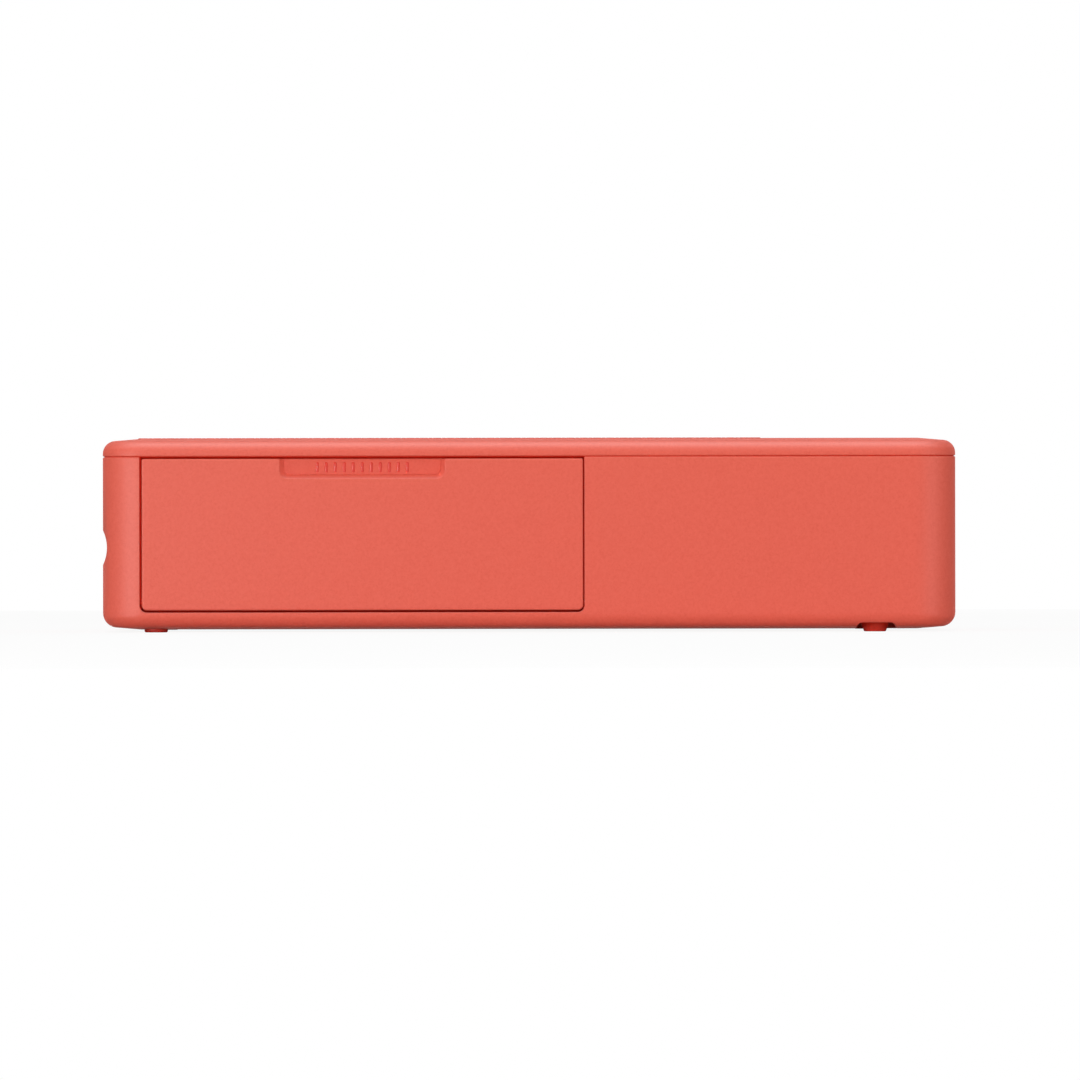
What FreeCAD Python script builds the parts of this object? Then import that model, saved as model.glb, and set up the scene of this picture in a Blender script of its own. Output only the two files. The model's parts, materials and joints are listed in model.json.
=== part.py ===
import FreeCAD, Part
import math
import os

# Compact photo printer, in millimetres.
# X runs along the body: the paper leaves at -X, the power inlet is at +X.
# Y runs across it: the ink door is on the -Y side, the gears on the +Y side.
# Z is up from the surface that the feet stand on, and the origin is below the middle of the body.

# Body
body_length = 145.8
wall = 2.0
floor_thickness = 2.0
plan_radius = 7.0
top_edge_radius = 2.2
bottom_edge_radius = 2.5
crown_drop = 0.53
crown_run = 6.5
inner_crown_radius = 0.5
foot_drop = 0.5
overrun = 1.0
seam_gap = 0.1
seam_break = 0.15
cover_band = 3.1
roof_thickness = 1.4

# Clearances
shaft_clearance = 0.05
panel_gap = 0.2
slide_clearance = 0.1
seat_gap = 0.2

# Sheet and the plates on both sides of it
sheet_width = 72.0
sheet_length = 85.4
sheet_margin = 0.6
plate_gap = 2.9
plate_thickness = 1.0
gear_bay = 8.6

# Heights of the mechanism above the top of the floor
sheet_rise = 12.0
guide_drop = 0.5
guide_thickness = 0.8
tray_floor_rise = 24.7
tray_floor_thickness = 0.8
tray_depth = 4.4
tray_wall = 0.8
tray_top_gap = 0.2
plate_roof_gap = 2.7

# Paper cover
panel_thickness = 1.4
panel_proud = 0.1
panel_front_inset = 6.0
panel_side_inset = 6.0
panel_length = 106.6
panel_corner_radius = 1.0
panel_edge_radius = 0.25
panel_pin_inset = 1.6
panel_pin_drop = 0.8
panel_pin_radius = 0.4
panel_pin_reach = 1.8
panel_pin_bury = 2.5
panel_barrel_radius = 1.1
hinge_block_length = 3.8
hinge_block_depth = 2.7
hinge_block_width = 2.8

# Ink door
door_front_inset = 6.76
door_length = 75.36
door_thickness = 1.8
door_sill = 3.25
door_gap_front = 0.36
door_gap_rear = 0.24
door_gap_below = 0.36
door_gap_above = 0.3
door_low_radius = 0.9
door_high_radius = 0.35
door_edge_radius = 0.3
door_pin_inset = 1.0
door_pin_rise = 1.25
door_pin_radius = 0.5
door_pin_reach = 1.2
door_pin_bury = 2.0
recess_length = 28.3
recess_height = 3.45
recess_depth = 1.0
recess_slope = 0.7
recess_radius = 1.4
recess_mouth_radius = 0.45

# Groove and exit slot at the front end
groove_radius = 6.4
groove_depth = 0.75
exit_slot_height = 3.0
exit_slot_side = 2.0

# Feet
front_foot_inset = 9.1
front_foot_side = 6.6
front_foot_radius = 2.0
front_foot_seat = 0.5
front_foot_edge = 0.3
rear_foot_inset = 13.8
rear_foot_side = 5.6
rear_foot_radius = 2.45
rear_foot_tip_radius = 1.85
rear_foot_edge = 0.25
rear_pocket_depth = 1.05
rear_pocket_shift = 0.2
rear_pocket_low = 7.2
rear_pocket_high = 5.8
rear_pocket_corner = 0.7
rear_pocket_run = 10.0

# Corner posts and screws
front_post_inset = 13.9
rear_post_inset = 6.9
side_post_inset = 6.9
post_radius = 2.4
boss_height = 3.4
post_gap = 0.1
screw_radius = 0.8
screw_head_radius = 1.6
screw_head_height = 1.0
screw_head_recess = 0.4
screw_reach = 6.0
screw_head_clearance = 0.3

# Stations along the body: the exit rollers and the platen from the front end, the rest from the platen
exit_station = 8.9
platen_station = 44.9
supply_offset = 22.0
cam_offset = 11.5
takeup_offset = 22.0
capstan_offset = 34.0
head_pivot_offset = 12.5
sensor_offset = 11.6
board_offset = 42.1
tray_front_offset = 21.4

# Rollers
exit_radius = 3.0
exit_idler_radius = 2.4
platen_radius = 5.0
platen_film_gap = 0.35
capstan_radius = 3.0
pinch_radius = 3.0
roller_nip = 0.1
pickup_radius = 5.5
pickup_motor_gap = 4.5
pickup_proud = 0.3
turn_radius = 6.35
turn_guide_gap = 0.85
turn_guide_thickness = 0.8
thick_shaft_radius = 1.5
thin_shaft_radius = 1.0
roller_end_gap = 3.0
shaft_end_reach = 0.7
window_clearance = 1.2

# Gears
module = 0.5
addendum_share = 0.75
dedendum_share = 1.15
tooth_share = 0.41
pressure_angle = 20.0
layer_gap = 0.7
layer_width = 2.5
layer_space = 0.5
pinion_teeth = 10
capstan_teeth = 32
reduction_large_teeth = 36
reduction_small_teeth = 12
pickup_teeth = 15
transfer_teeth = 10
turn_teeth = 22
takeup_teeth = 16
ribbon_idler_teeth = 12
cam_teeth = 24
reduction_rise = 2.1
motor_rise = 6.7

# Motors
motor_radius = 4.25
motor_length = 25.0
motor_shaft_radius = 0.75
motor_collar_radius = 1.6
lift_motor_radius = 4.5
lift_motor_length = 4.4
ribbon_motor_rise = 5.5

# Thermal head and its cam
film_thickness = 0.1
film_rise = 0.45
head_film_gap = 0.25
head_strip_thickness = 1.1
head_strip_width = 10.0
sink_width = 12.0
sink_height = 7.0
sink_base = 2.2
sink_fins = 5
sink_fin_share = 0.5
arm_thickness = 1.0
arm_height = 2.0
arm_plate_gap = 0.6
arm_overhang = 2.5
web_drop = 4.8
pivot_above_film = 9.3
pivot_boss_radius = 1.9
cam_below_pivot = 2.3
cam_base_radius = 1.6
cam_rise = 2.5
cam_turn = 150.0
cam_step = 10.0
cam_return = 50.0
follower_gap = 0.45

# Ink cassette
chamber_radius = 5.6
chamber_wall = 0.6
chamber_gap = 0.4
spool_radius = 2.6
spool_bore = 1.3
roll_radius = 4.5
used_roll_radius = 3.4
spool_end_gap = 0.6
film_frame_height = 1.6
film_frame_width = 0.8
film_slot = 3.0
cassette_end_gap = 1.9
grip_thickness = 2.0
grip_door_gap = 2.3
grip_rise = 10.6
plate_window_gap = 0.6
hub_radius = 2.0
dog_radius = 1.2
dog_reach = 3.0

# Boards, battery and the parts on them
board_thickness = 1.2
board_rise = 1.5
board_rear_gap = 1.9
board_side_gap = 1.5
standoff_radius = 2.0
standoff_inset = 4.0
battery_front_gap = 2.4
battery_length = 29.0
battery_width = 66.0
battery_height = 5.2
inlet_width = 9.0
inlet_height = 3.2
inlet_length = 7.4
inlet_side_inset = 21.1
inlet_recess = 1.0
inlet_clearance = 0.2
inlet_shell = 0.4
inlet_tongue = 0.7
chip_height = 1.2

# Button and lights on the rear strip
button_inset = 10.9
button_side_inset = 21.1
button_radius = 4.0
button_gap = 0.2
button_height = 2.6
button_travel = 0.5
button_recess = 0.05
button_flange = 0.8
button_flange_height = 0.5
switch_width = 4.5
switch_height = 0.9
light_side_inset = 32.1
light_pitch = 5.0
light_count = 3
light_radius = 0.8
light_length = 3.0
button_board_length = 12.0
button_board_width = 30.0
button_board_margin = 8.0
button_post_radius = 1.5
button_post_inset = 2.0

# Cover release slider
slider_station = 17.4
slider_length = 8.0
slider_height = 2.6
slider_drop = 3.9
slider_travel = 3.0
slider_flange = 1.1
slider_flange_overlap = 1.6
rail_height = 0.8
rail_lip = 0.9
hook_half_length = 2.4
hook_thickness = 0.8
finger_width = 1.6

# Paper sensor
sensor_drop = 3.0
sensor_thickness = 0.8
sensor_reach = 0.6
sensor_half_width = 2.0
sensor_boss_radius = 1.4

# Places worked out from the sizes above
half_length = body_length / 2
front_x = -half_length
rear_x = half_length
plate_inner = sheet_width / 2 + sheet_margin + plate_gap
plate_outer = plate_inner + plate_thickness
half_depth = plate_outer + gear_bay + wall
inner_depth = half_depth - wall
body_bottom = foot_drop
floor_top = body_bottom + floor_thickness
sheet_z = floor_top + sheet_rise
tray_floor_top = floor_top + tray_floor_rise
tray_top = tray_floor_top + tray_depth
panel_bottom = tray_top + tray_top_gap
panel_top = panel_bottom + panel_thickness
cover_top = panel_top - panel_proud
roof_bottom = cover_top - roof_thickness
seam_z = cover_top - cover_band
rim_z = seam_z - seam_gap / 2
cover_rim_z = seam_z + seam_gap / 2
layer_a = plate_outer + layer_gap
layer_b = layer_a + layer_width + layer_space
roller_half = plate_inner - roller_end_gap
shaft_half = plate_outer + shaft_end_reach
film_z = sheet_z + film_rise
plate_top = roof_bottom - plate_roof_gap
tray_half = sheet_width / 2 + sheet_margin
battery_x0 = front_x + wall + battery_front_gap
exit_x = front_x + exit_station
platen_x = front_x + platen_station
supply_x = platen_x - supply_offset
cam_x = platen_x - cam_offset
takeup_x = platen_x + takeup_offset
capstan_x = platen_x + capstan_offset
tray_front = platen_x - tray_front_offset
pickup_half_width = plate_inner - motor_length - pickup_motor_gap
button_y = button_side_inset - half_depth
inlet_y = inlet_side_inset - half_depth
first_light_y = light_side_inset - half_depth
head_pivot_x = platen_x + head_pivot_offset
platen_z = film_z - platen_film_gap - platen_radius
capstan_z = sheet_z - roller_nip - capstan_radius
pinch_z = sheet_z + roller_nip + pinch_radius
exit_z = sheet_z - roller_nip - exit_radius
exit_idler_z = sheet_z + roller_nip + exit_idler_radius
spool_z = tray_floor_top - tray_floor_thickness - chamber_gap - chamber_radius
head_pivot_z = film_z + pivot_above_film
cam_z = head_pivot_z - cam_below_pivot


def vec(x, y, z):
    return FreeCAD.Vector(x, y, z)


def box(x0, x1, y0, y1, z0, z1):
    """A box between two planes each way."""
    return Part.makeBox(x1 - x0, y1 - y0, z1 - z0, vec(x0, y0, z0))


def rod_x(y, z, radius, x0, x1):
    return Part.makeCylinder(radius, x1 - x0, vec(x0, y, z), vec(1, 0, 0))


def rod_y(x, z, radius, y0, y1):
    return Part.makeCylinder(radius, y1 - y0, vec(x, y0, z), vec(0, 1, 0))


def rod_z(x, y, radius, z0, z1):
    return Part.makeCylinder(radius, z1 - z0, vec(x, y, z0), vec(0, 0, 1))


def tube_y(x, z, outer, inner, y0, y1):
    return rod_y(x, z, outer, y0, y1).cut(rod_y(x, z, inner, y0 - overrun, y1 + overrun))


def mirrored(shape):
    """The same piece on the other long side."""
    return shape.mirror(vec(0, 0, 0), vec(0, 1, 0))


def join(shapes):
    """One shape of the pieces given, without the seams between them."""
    first = shapes[0]
    return first.fuse(shapes[1:]).removeSplitter() if len(shapes) > 1 else first


def save(name, shape):
    shape.exportStep("parts/" + name + ".step")


def rounded_wire(x0, x1, y0, y1, radius, z):
    """A rounded rectangle in a level plane."""
    k = radius * (1 - math.sqrt(2) / 2)
    corners = [(x1, y0, -1, 1), (x1, y1, -1, -1), (x0, y1, 1, -1), (x0, y0, 1, 1)]
    marks = []
    for cx, cy, sx, sy in corners:
        side = vec(cx, cy + sy * radius, z)
        end = vec(cx + sx * radius, cy, z)
        middle = vec(cx + sx * k, cy + sy * k, z)
        marks.append((end, middle, side) if sx * sy < 0 else (side, middle, end))
    edges = []
    for i, (start, middle, end) in enumerate(marks):
        edges.append(Part.Arc(start, middle, end).toShape())
        edges.append(Part.LineSegment(end, marks[(i + 1) % len(marks)][0]).toShape())
    return Part.Wire(edges)


def plan_wire(inset, z):
    """The body's outline, drawn in by an inset."""
    radius = max(plan_radius - inset, inner_crown_radius)
    return rounded_wire(front_x + inset, rear_x - inset, inset - half_depth, half_depth - inset, radius, z)


def plan_block(inset, z0, z1):
    return Part.Face(plan_wire(inset, z0)).extrude(vec(0, 0, z1 - z0))


def edges_at(shape, z):
    """Edges that lie wholly at one height."""
    slack = seam_gap / 100
    return [e for e in shape.Edges if abs(e.BoundBox.ZMin - z) < slack and abs(e.BoundBox.ZMax - z) < slack]


def crowned_block(rim, crown, edge_radius):
    """Block from the rim to the crown, whose last stretch slopes in slightly and whose edge is rounded."""
    shoulder = crown - math.copysign(crown_drop, crown - rim)
    low, high = min(rim, shoulder), max(rim, shoulder)
    straight = plan_block(0, low, high)
    slope = Part.makeLoft([plan_wire(0, shoulder), plan_wire(crown_run, crown)], True, True)
    block = straight.fuse(slope)
    block = block.makeFillet(edge_radius, edges_at(block, shoulder))
    return block.makeChamfer(seam_break, edges_at(block, rim))


def meshed_x(x, z, far_z, teeth_a, teeth_b):
    """X of an axle at height far_z, behind the axle at (x, z) that its gear meshes with."""
    distance = module * (teeth_a + teeth_b) / 2
    return x + math.sqrt(distance ** 2 - (far_z - z) ** 2)


def phase_from(phase, teeth, other_teeth, angle):
    """Turn of a gear that meshes with one of a known turn, along a line of centres at the angle."""
    return angle + math.pi + math.pi / other_teeth + (angle - phase) * teeth / other_teeth


def line_angle(a, b):
    return math.atan2(b[1] - a[1], b[0] - a[0])


def gear(axle, teeth, phase, y0, y1, bore):
    """Spur gear about a Y axle with involute flanks, its teeth thinned for backlash."""
    pitch_radius = module * teeth / 2
    base = pitch_radius * math.cos(math.radians(pressure_angle))
    tip = pitch_radius + addendum_share * module
    root = pitch_radius - dedendum_share * module
    flank_steps = 4

    def spread(radius):
        slope = math.acos(min(1.0, base / radius))
        return math.tan(slope) - slope

    half_tooth = tooth_share * math.pi / teeth
    start = max(root, base)
    radii = [root] if root < base else []
    radii += [start + (tip - start) * i / flank_steps for i in range(flank_steps + 1)]
    points = []
    for tooth in range(teeth):
        centre = phase + tooth * 2 * math.pi / teeth
        turns = [half_tooth + spread(pitch_radius) - spread(max(r, base)) for r in radii]
        flank = [(centre - a, r) for a, r in zip(turns, radii)]
        flank += [(centre + a, r) for a, r in reversed(list(zip(turns, radii)))]
        points += [vec(axle[0] + r * math.cos(a), y0, axle[1] + r * math.sin(a)) for a, r in flank]
    outline = Part.makePolygon(points + points[:1])
    blank = Part.Face(outline).extrude(vec(0, y1 - y0, 0))
    return blank.cut(rod_y(axle[0], axle[1], bore, y0 - overrun, y1 + overrun))


# Axles of the gear trains
capstan_axle = (capstan_x, capstan_z)
reduction_z = capstan_z + reduction_rise
reduction_x = meshed_x(capstan_x, capstan_z, reduction_z, capstan_teeth, reduction_small_teeth)
reduction_axle = (reduction_x, reduction_z)
motor_z = reduction_z + motor_rise
motor_axle = (
    meshed_x(reduction_axle[0], reduction_z, motor_z, reduction_large_teeth, pinion_teeth), motor_z)
pickup_z = tray_floor_top + pickup_proud - pickup_radius
pickup_axle = (meshed_x(motor_axle[0], motor_z, pickup_z, pinion_teeth, pickup_teeth), pickup_z)
turn_z = sheet_z + turn_radius + roller_nip
turn_distance = module * (pickup_teeth + 2 * transfer_teeth + turn_teeth) / 2
turn_axle = (pickup_axle[0] + math.sqrt(turn_distance ** 2 - (turn_z - pickup_z) ** 2), turn_z)
transfer_share = (pickup_teeth + transfer_teeth) / (pickup_teeth + 2 * transfer_teeth + turn_teeth)
transfer_axle = (
    pickup_axle[0] + (turn_axle[0] - pickup_axle[0]) * transfer_share,
    pickup_z + (turn_z - pickup_z) * transfer_share)
takeup_axle = (takeup_x, spool_z)
ribbon_motor_z = floor_top + ribbon_motor_rise
ribbon_distance = module * (pinion_teeth + 2 * ribbon_idler_teeth + takeup_teeth) / 2
ribbon_motor_x = takeup_x - math.sqrt(ribbon_distance ** 2 - (spool_z - ribbon_motor_z) ** 2)
ribbon_motor_axle = (ribbon_motor_x, ribbon_motor_z)
ribbon_train_teeth = pinion_teeth + 2 * ribbon_idler_teeth + takeup_teeth
ribbon_idler_share = (pinion_teeth + ribbon_idler_teeth) / ribbon_train_teeth
ribbon_idler_axle = (
    ribbon_motor_axle[0] + (takeup_x - ribbon_motor_axle[0]) * ribbon_idler_share,
    ribbon_motor_z + (spool_z - ribbon_motor_z) * ribbon_idler_share)
cam_axle = (cam_x, cam_z)
lift_axle = (cam_x + module * (cam_teeth + pinion_teeth) / 2, cam_z)

# Turns of the gears at rest, each in mesh with the one before
capstan_phase = 0.0
reduction_small_phase = phase_from(
    capstan_phase, capstan_teeth, reduction_small_teeth, line_angle(capstan_axle, reduction_axle))
reduction_large_phase = 0.0
motor_phase = phase_from(
    reduction_large_phase, reduction_large_teeth, pinion_teeth, line_angle(reduction_axle, motor_axle))
pickup_phase = phase_from(motor_phase, pinion_teeth, pickup_teeth, line_angle(motor_axle, pickup_axle))
transfer_phase = phase_from(
    pickup_phase, pickup_teeth, transfer_teeth, line_angle(pickup_axle, transfer_axle))
turn_phase = phase_from(transfer_phase, transfer_teeth, turn_teeth, line_angle(transfer_axle, turn_axle))
ribbon_phase = 0.0
ribbon_idler_phase = phase_from(
    ribbon_phase, pinion_teeth, ribbon_idler_teeth, line_angle(ribbon_motor_axle, ribbon_idler_axle))
takeup_phase = phase_from(
    ribbon_idler_phase, ribbon_idler_teeth, takeup_teeth, line_angle(ribbon_idler_axle, takeup_axle))
cam_phase = 0.0
lift_phase = phase_from(cam_phase, cam_teeth, pinion_teeth, line_angle(cam_axle, lift_axle))

# Places of the outer pieces
door_x0 = front_x + door_front_inset
door_x1 = door_x0 + door_length
door_z0 = body_bottom + door_sill
door_z1 = cover_rim_z - door_gap_above - seam_gap
door_inner_y = door_thickness - half_depth
door_pin_y = door_pin_inset - half_depth
door_pin_z = door_z0 + door_pin_rise
panel_x0 = front_x + panel_front_inset
panel_x1 = panel_x0 + panel_length
panel_half = half_depth - panel_side_inset
panel_pin_x = panel_x1 - panel_pin_inset
panel_pin_z = panel_top - panel_pin_drop
post_y = half_depth - side_post_inset
front_foot_x = front_x + front_foot_inset
front_foot_y = half_depth - front_foot_side
rear_foot_x = rear_x - rear_foot_inset
rear_foot_y = half_depth - rear_foot_side
pocket_top = body_bottom + rear_pocket_depth
board_z = floor_top + board_rise
board_top = board_z + board_thickness
board_x0 = platen_x + board_offset
board_x1 = rear_x - board_rear_gap - wall
board_half = plate_inner - board_side_gap
button_x = rear_x - button_inset
inlet_x1 = rear_x - inlet_recess
inlet_x0 = inlet_x1 - inlet_length
slider_x0 = front_x + slider_station
slider_z1 = rim_z - slider_drop + slider_height / 2
slider_z0 = slider_z1 - slider_height
hook_x = slider_x0 + slider_length / 2
hook_z = (slider_z0 + slider_z1 - hook_thickness) / 2
button_bottom = cover_top - button_recess - button_height
button_board_top = button_bottom - button_travel - switch_height - shaft_clearance


def corner_places():
    return [(x, side * post_y) for x in (front_x + front_post_inset, rear_x - rear_post_inset)
            for side in (-1, 1)]


def foot_pocket():
    """Cut for a rear foot, open through the rounded bottom edge of the long side."""
    low, high = rear_pocket_low / 2, rear_pocket_high / 2
    middle = rear_foot_x + rear_pocket_shift
    y = -half_depth - overrun
    outline = Part.makePolygon([
        vec(middle - low, y, body_bottom - overrun),
        vec(middle - low, y, body_bottom),
        vec(middle - high, y, pocket_top),
        vec(middle + high, y, pocket_top),
        vec(middle + low, y, body_bottom),
        vec(middle + low, y, body_bottom - overrun),
        vec(middle - low, y, body_bottom - overrun)])
    pocket = Part.Face(outline).extrude(vec(0, rear_pocket_run + overrun, 0))
    upper = [e for e in pocket.Edges if e.BoundBox.ZMin > pocket_top - seam_gap / 2
             and e.BoundBox.YLength > rear_pocket_run / 2]
    return pocket.makeFillet(rear_pocket_corner, upper)


def door_outline(x0, x1, z0, z1, low_radius, high_radius, y):
    """Outline of the door or of its opening in the side wall, its lower corners rounded more."""
    turn = 1 - math.sqrt(2) / 2
    corners = [
        (x0, z0, 1, 1, low_radius), (x0, z1, 1, -1, high_radius),
        (x1, z1, -1, -1, high_radius), (x1, z0, -1, 1, low_radius)]
    marks = []
    for i, (cx, cz, sx, sz, r) in enumerate(corners):
        level = vec(cx + sx * r, y, cz)
        upright = vec(cx, y, cz + sz * r)
        middle = vec(cx + sx * r * turn, y, cz + sz * r * turn)
        marks.append((level, middle, upright) if i % 2 == 0 else (upright, middle, level))
    edges = []
    for i, (start, middle, end) in enumerate(marks):
        edges.append(Part.Arc(start, middle, end).toShape())
        edges.append(Part.LineSegment(end, marks[(i + 1) % len(marks)][0]).toShape())
    return Part.Wire(edges)


def bottom_case():
    """Tub that carries everything, with its openings, bosses and rails."""
    case = crowned_block(rim_z, body_bottom, bottom_edge_radius)
    case = case.cut(plan_block(wall, floor_top, rim_z + overrun))
    groove_x = front_x + groove_depth - groove_radius
    case = case.cut(rod_y(groove_x, sheet_z, groove_radius, -half_depth - overrun, half_depth + overrun))
    slot_half = sheet_width / 2 + exit_slot_side
    slot_low = sheet_z - exit_slot_height / 2
    cuts = [box(front_x - overrun, front_x + wall + overrun, -slot_half, slot_half,
                slot_low, slot_low + exit_slot_height)]
    opening = door_outline(
        door_x0 - door_gap_front, door_x1 + door_gap_rear, door_z0 - door_gap_below,
        rim_z + overrun, door_low_radius + door_gap_below, door_low_radius, -half_depth - overrun)
    cuts.append(Part.Face(opening).extrude(vec(0, wall + 2 * overrun, 0)))
    pin_hole = door_pin_radius + shaft_clearance
    cuts.append(rod_x(door_pin_y, door_pin_z, pin_hole, door_x0 - door_gap_front - door_pin_reach - panel_gap,
                      door_x1 + door_gap_rear + door_pin_reach + panel_gap))
    cuts.append(slider_slot())
    cuts.append(inlet_opening())
    for side in (-1, 1):
        cuts.append(rod_z(front_foot_x, side * front_foot_y, front_foot_radius,
                          body_bottom - overrun, body_bottom + front_foot_seat))
    cuts += [foot_pocket(), mirrored(foot_pocket())]
    case = case.cut(cuts)
    solids = [rod_z(x, y, post_radius, floor_top, floor_top + boss_height) for x, y in corner_places()]
    solids += board_standoffs()
    solids += slider_rails()
    solids += plate_rails()
    case = join([case] + solids)
    holes = []
    for x, y in corner_places():
        holes.append(rod_z(x, y, screw_radius + slide_clearance, body_bottom - overrun,
                           floor_top + boss_height + overrun))
        holes.append(rod_z(x, y, screw_head_radius + screw_head_clearance, body_bottom - overrun,
                           body_bottom + screw_head_recess + screw_head_height))
    return case.cut(holes)


def slider_slot():
    return box(slider_x0 - panel_gap, slider_x0 + slider_length + slider_travel + panel_gap,
               inner_depth - overrun, half_depth + overrun,
               slider_z0 - slide_clearance, slider_z1 + slide_clearance)


def slider_rails():
    """Rails behind the side wall that the release slider runs in."""
    x0 = slider_x0 - slider_flange_overlap - panel_gap
    x1 = slider_x0 + slider_length + slider_travel + slider_flange_overlap + panel_gap
    low = slider_z0 - slider_flange_overlap - slide_clearance
    high = slider_z1 + slider_flange_overlap + slide_clearance
    depth = slider_flange + 2 * slide_clearance
    rails = []
    for z0, z1, lip0, lip1 in (
            (low - rail_height, low, low - rail_height, low + rail_lip),
            (high, high + rail_height, high - rail_lip, high + rail_height)):
        rails.append(box(x0, x1, inner_depth - depth, inner_depth, z0, z1))
        rails.append(box(x0, x1, inner_depth - depth - rail_height, inner_depth - depth, lip0, lip1))
    return rails


def plate_rails():
    """Ribs on the floor that the two side plates stand between."""
    rails = []
    for x in (exit_x, platen_x + platen_radius + overrun, turn_axle[0]):
        rail = box(x - post_radius, x + post_radius, plate_outer, plate_outer + post_radius,
                   floor_top, floor_top + boss_height)
        rails += [rail, mirrored(rail)]
    return rails


def standoff_places():
    return [(x, y) for x in (board_x0 + standoff_inset, board_x1 - standoff_inset)
            for y in (standoff_inset - board_half, board_half - standoff_inset)]


def board_standoffs():
    return [rod_z(x, y, standoff_radius, floor_top, board_z) for x, y in standoff_places()]


def inlet_block(x0, x1, grow):
    """Power inlet's outline, a slot with round ends, pulled along X."""
    half_width = inlet_width / 2 + grow
    half_height = inlet_height / 2 + grow
    middle_z = board_top + inlet_height / 2
    straight = half_width - half_height
    centre_y = inlet_y
    block = box(x0, x1, centre_y - straight, centre_y + straight,
                middle_z - half_height, middle_z + half_height)
    ends = [rod_x(centre_y + s * straight, middle_z, half_height, x0, x1) for s in (-1, 1)]
    return join([block] + ends)


def inlet_opening():
    return inlet_block(rear_x - wall - overrun, rear_x + overrun, inlet_clearance)


def top_cover():
    """Fixed upper shell with the window for the paper cover."""
    cover = crowned_block(cover_rim_z, cover_top, top_edge_radius)
    cover = cover.cut(plan_block(wall, cover_rim_z - overrun, roof_bottom))
    window = Part.Face(rounded_wire(
        panel_x0 - panel_gap, panel_x1 + panel_gap, -panel_half - panel_gap, panel_half + panel_gap,
        panel_corner_radius + panel_gap, roof_bottom - overrun))
    cover = cover.cut(window.extrude(vec(0, 0, roof_thickness + 2 * overrun)))
    solids = [rod_z(x, y, post_radius, floor_top + boss_height + post_gap, roof_bottom)
              for x, y in corner_places()]
    block = box(panel_pin_x - hinge_block_length / 2, panel_x1 + panel_gap, panel_half + panel_gap,
                panel_half + panel_gap + hinge_block_width,
                roof_bottom + roof_thickness / 2 - hinge_block_depth, roof_bottom + roof_thickness / 2)
    solids += [block, mirrored(block)]
    solids += [rod_z(x, y, button_post_radius, button_board_top, roof_bottom)
               for x, y in button_post_places()]
    cover = join([cover] + solids)
    pin_hole = panel_pin_radius + shaft_clearance
    reach = panel_half + panel_gap + panel_pin_reach + seat_gap
    holes = [rod_y(panel_pin_x, panel_pin_z, pin_hole, -reach, reach)]
    holes.append(rod_z(button_x, button_y, button_radius + button_gap,
                       roof_bottom - overrun, cover_top + overrun))
    holes += [rod_z(button_x, y, light_radius, roof_bottom - overrun, cover_top + overrun)
              for y in light_places()]
    holes += [rod_z(x, y, screw_radius, floor_top + boss_height - overrun,
                    floor_top + boss_height + screw_reach) for x, y in corner_places()]
    return cover.cut(holes)


def light_places():
    return [first_light_y + i * light_pitch for i in range(light_count)]


def button_post_places():
    x0, x1, y0, y1 = button_board_outline()
    inset = button_post_inset
    return [(x0 + inset, y0 + inset), (x0 + inset, y1 - inset), (x1 - inset, y1 - inset)]


def button_board_outline():
    x0 = button_x - button_board_length / 2
    y0 = button_y - button_board_margin
    return x0, x0 + button_board_length, y0, y0 + button_board_width


def paper_cover():
    """Flat lid over the paper tray, on two pins near its rear edge."""
    wire = rounded_wire(panel_x0, panel_x1, -panel_half, panel_half, panel_corner_radius, panel_bottom)
    panel = Part.Face(wire).extrude(vec(0, 0, panel_thickness))
    panel = panel.makeFillet(panel_edge_radius, edges_at(panel, panel_top))
    barrel = rod_y(panel_pin_x, panel_pin_z, panel_barrel_radius,
                   panel_half - panel_pin_bury - panel_gap, panel_half)
    outline = rounded_wire(panel_x0, panel_x1, -panel_half, panel_half, panel_corner_radius, floor_top)
    barrel = barrel.common(Part.Face(outline).extrude(vec(0, 0, panel_bottom + panel_gap - floor_top)))
    hook_y = panel_half - seat_gap - hook_thickness
    hook = box(hook_x - hook_half_length, hook_x + hook_half_length, hook_y - hook_thickness, hook_y,
               hook_z, panel_bottom)
    nose = box(hook_x - hook_half_length, hook_x + hook_half_length, hook_y, hook_y + hook_thickness,
               hook_z, hook_z + hook_thickness)
    panel = join([panel, barrel, mirrored(barrel), hook, nose])
    holes = [rod_y(panel_pin_x, panel_pin_z, panel_pin_radius, side0, side1)
             for side0, side1 in ((panel_half - panel_pin_bury, half_depth),
                                  (-half_depth, panel_pin_bury - panel_half))]
    return panel.cut(holes)


def paper_cover_pins():
    pin = rod_y(panel_pin_x, panel_pin_z, panel_pin_radius, panel_half - panel_pin_bury,
                panel_half + panel_gap + panel_pin_reach)
    return Part.makeCompound([pin, mirrored(pin)])


def ink_door():
    """Side door with a finger recess in its upper edge, its outer face flush with the wall."""
    wire = door_outline(door_x0, door_x1, door_z0, door_z1, door_low_radius, door_high_radius,
                        -half_depth - overrun)
    door = Part.Face(wire).extrude(vec(0, door_thickness + overrun, 0))
    door = door.common(plan_block(0, floor_top, rim_z))
    inner = [e for e in door.Edges if abs(e.BoundBox.YMin - door_inner_y) < seam_gap / 100
             and abs(e.BoundBox.ZMax - door_z0) < seam_gap / 100]
    outer = [e for e in door.Edges if abs(e.BoundBox.YMin + half_depth) < seam_gap / 2
             and abs(e.BoundBox.ZMax - door_z0) < seam_gap / 100 and e.BoundBox.XLength > door_length / 2]
    door = door.makeFillet(door_edge_radius, inner + outer)
    door = door.cut(finger_recess())
    for x0, x1 in ((door_x0, door_x0 + door_pin_bury), (door_x1 - door_pin_bury, door_x1)):
        door = door.cut(rod_x(door_pin_y, door_pin_z, door_pin_radius, x0 - overrun * (x0 == door_x0),
                              x1 + overrun * (x1 == door_x1)))
    return door


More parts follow.
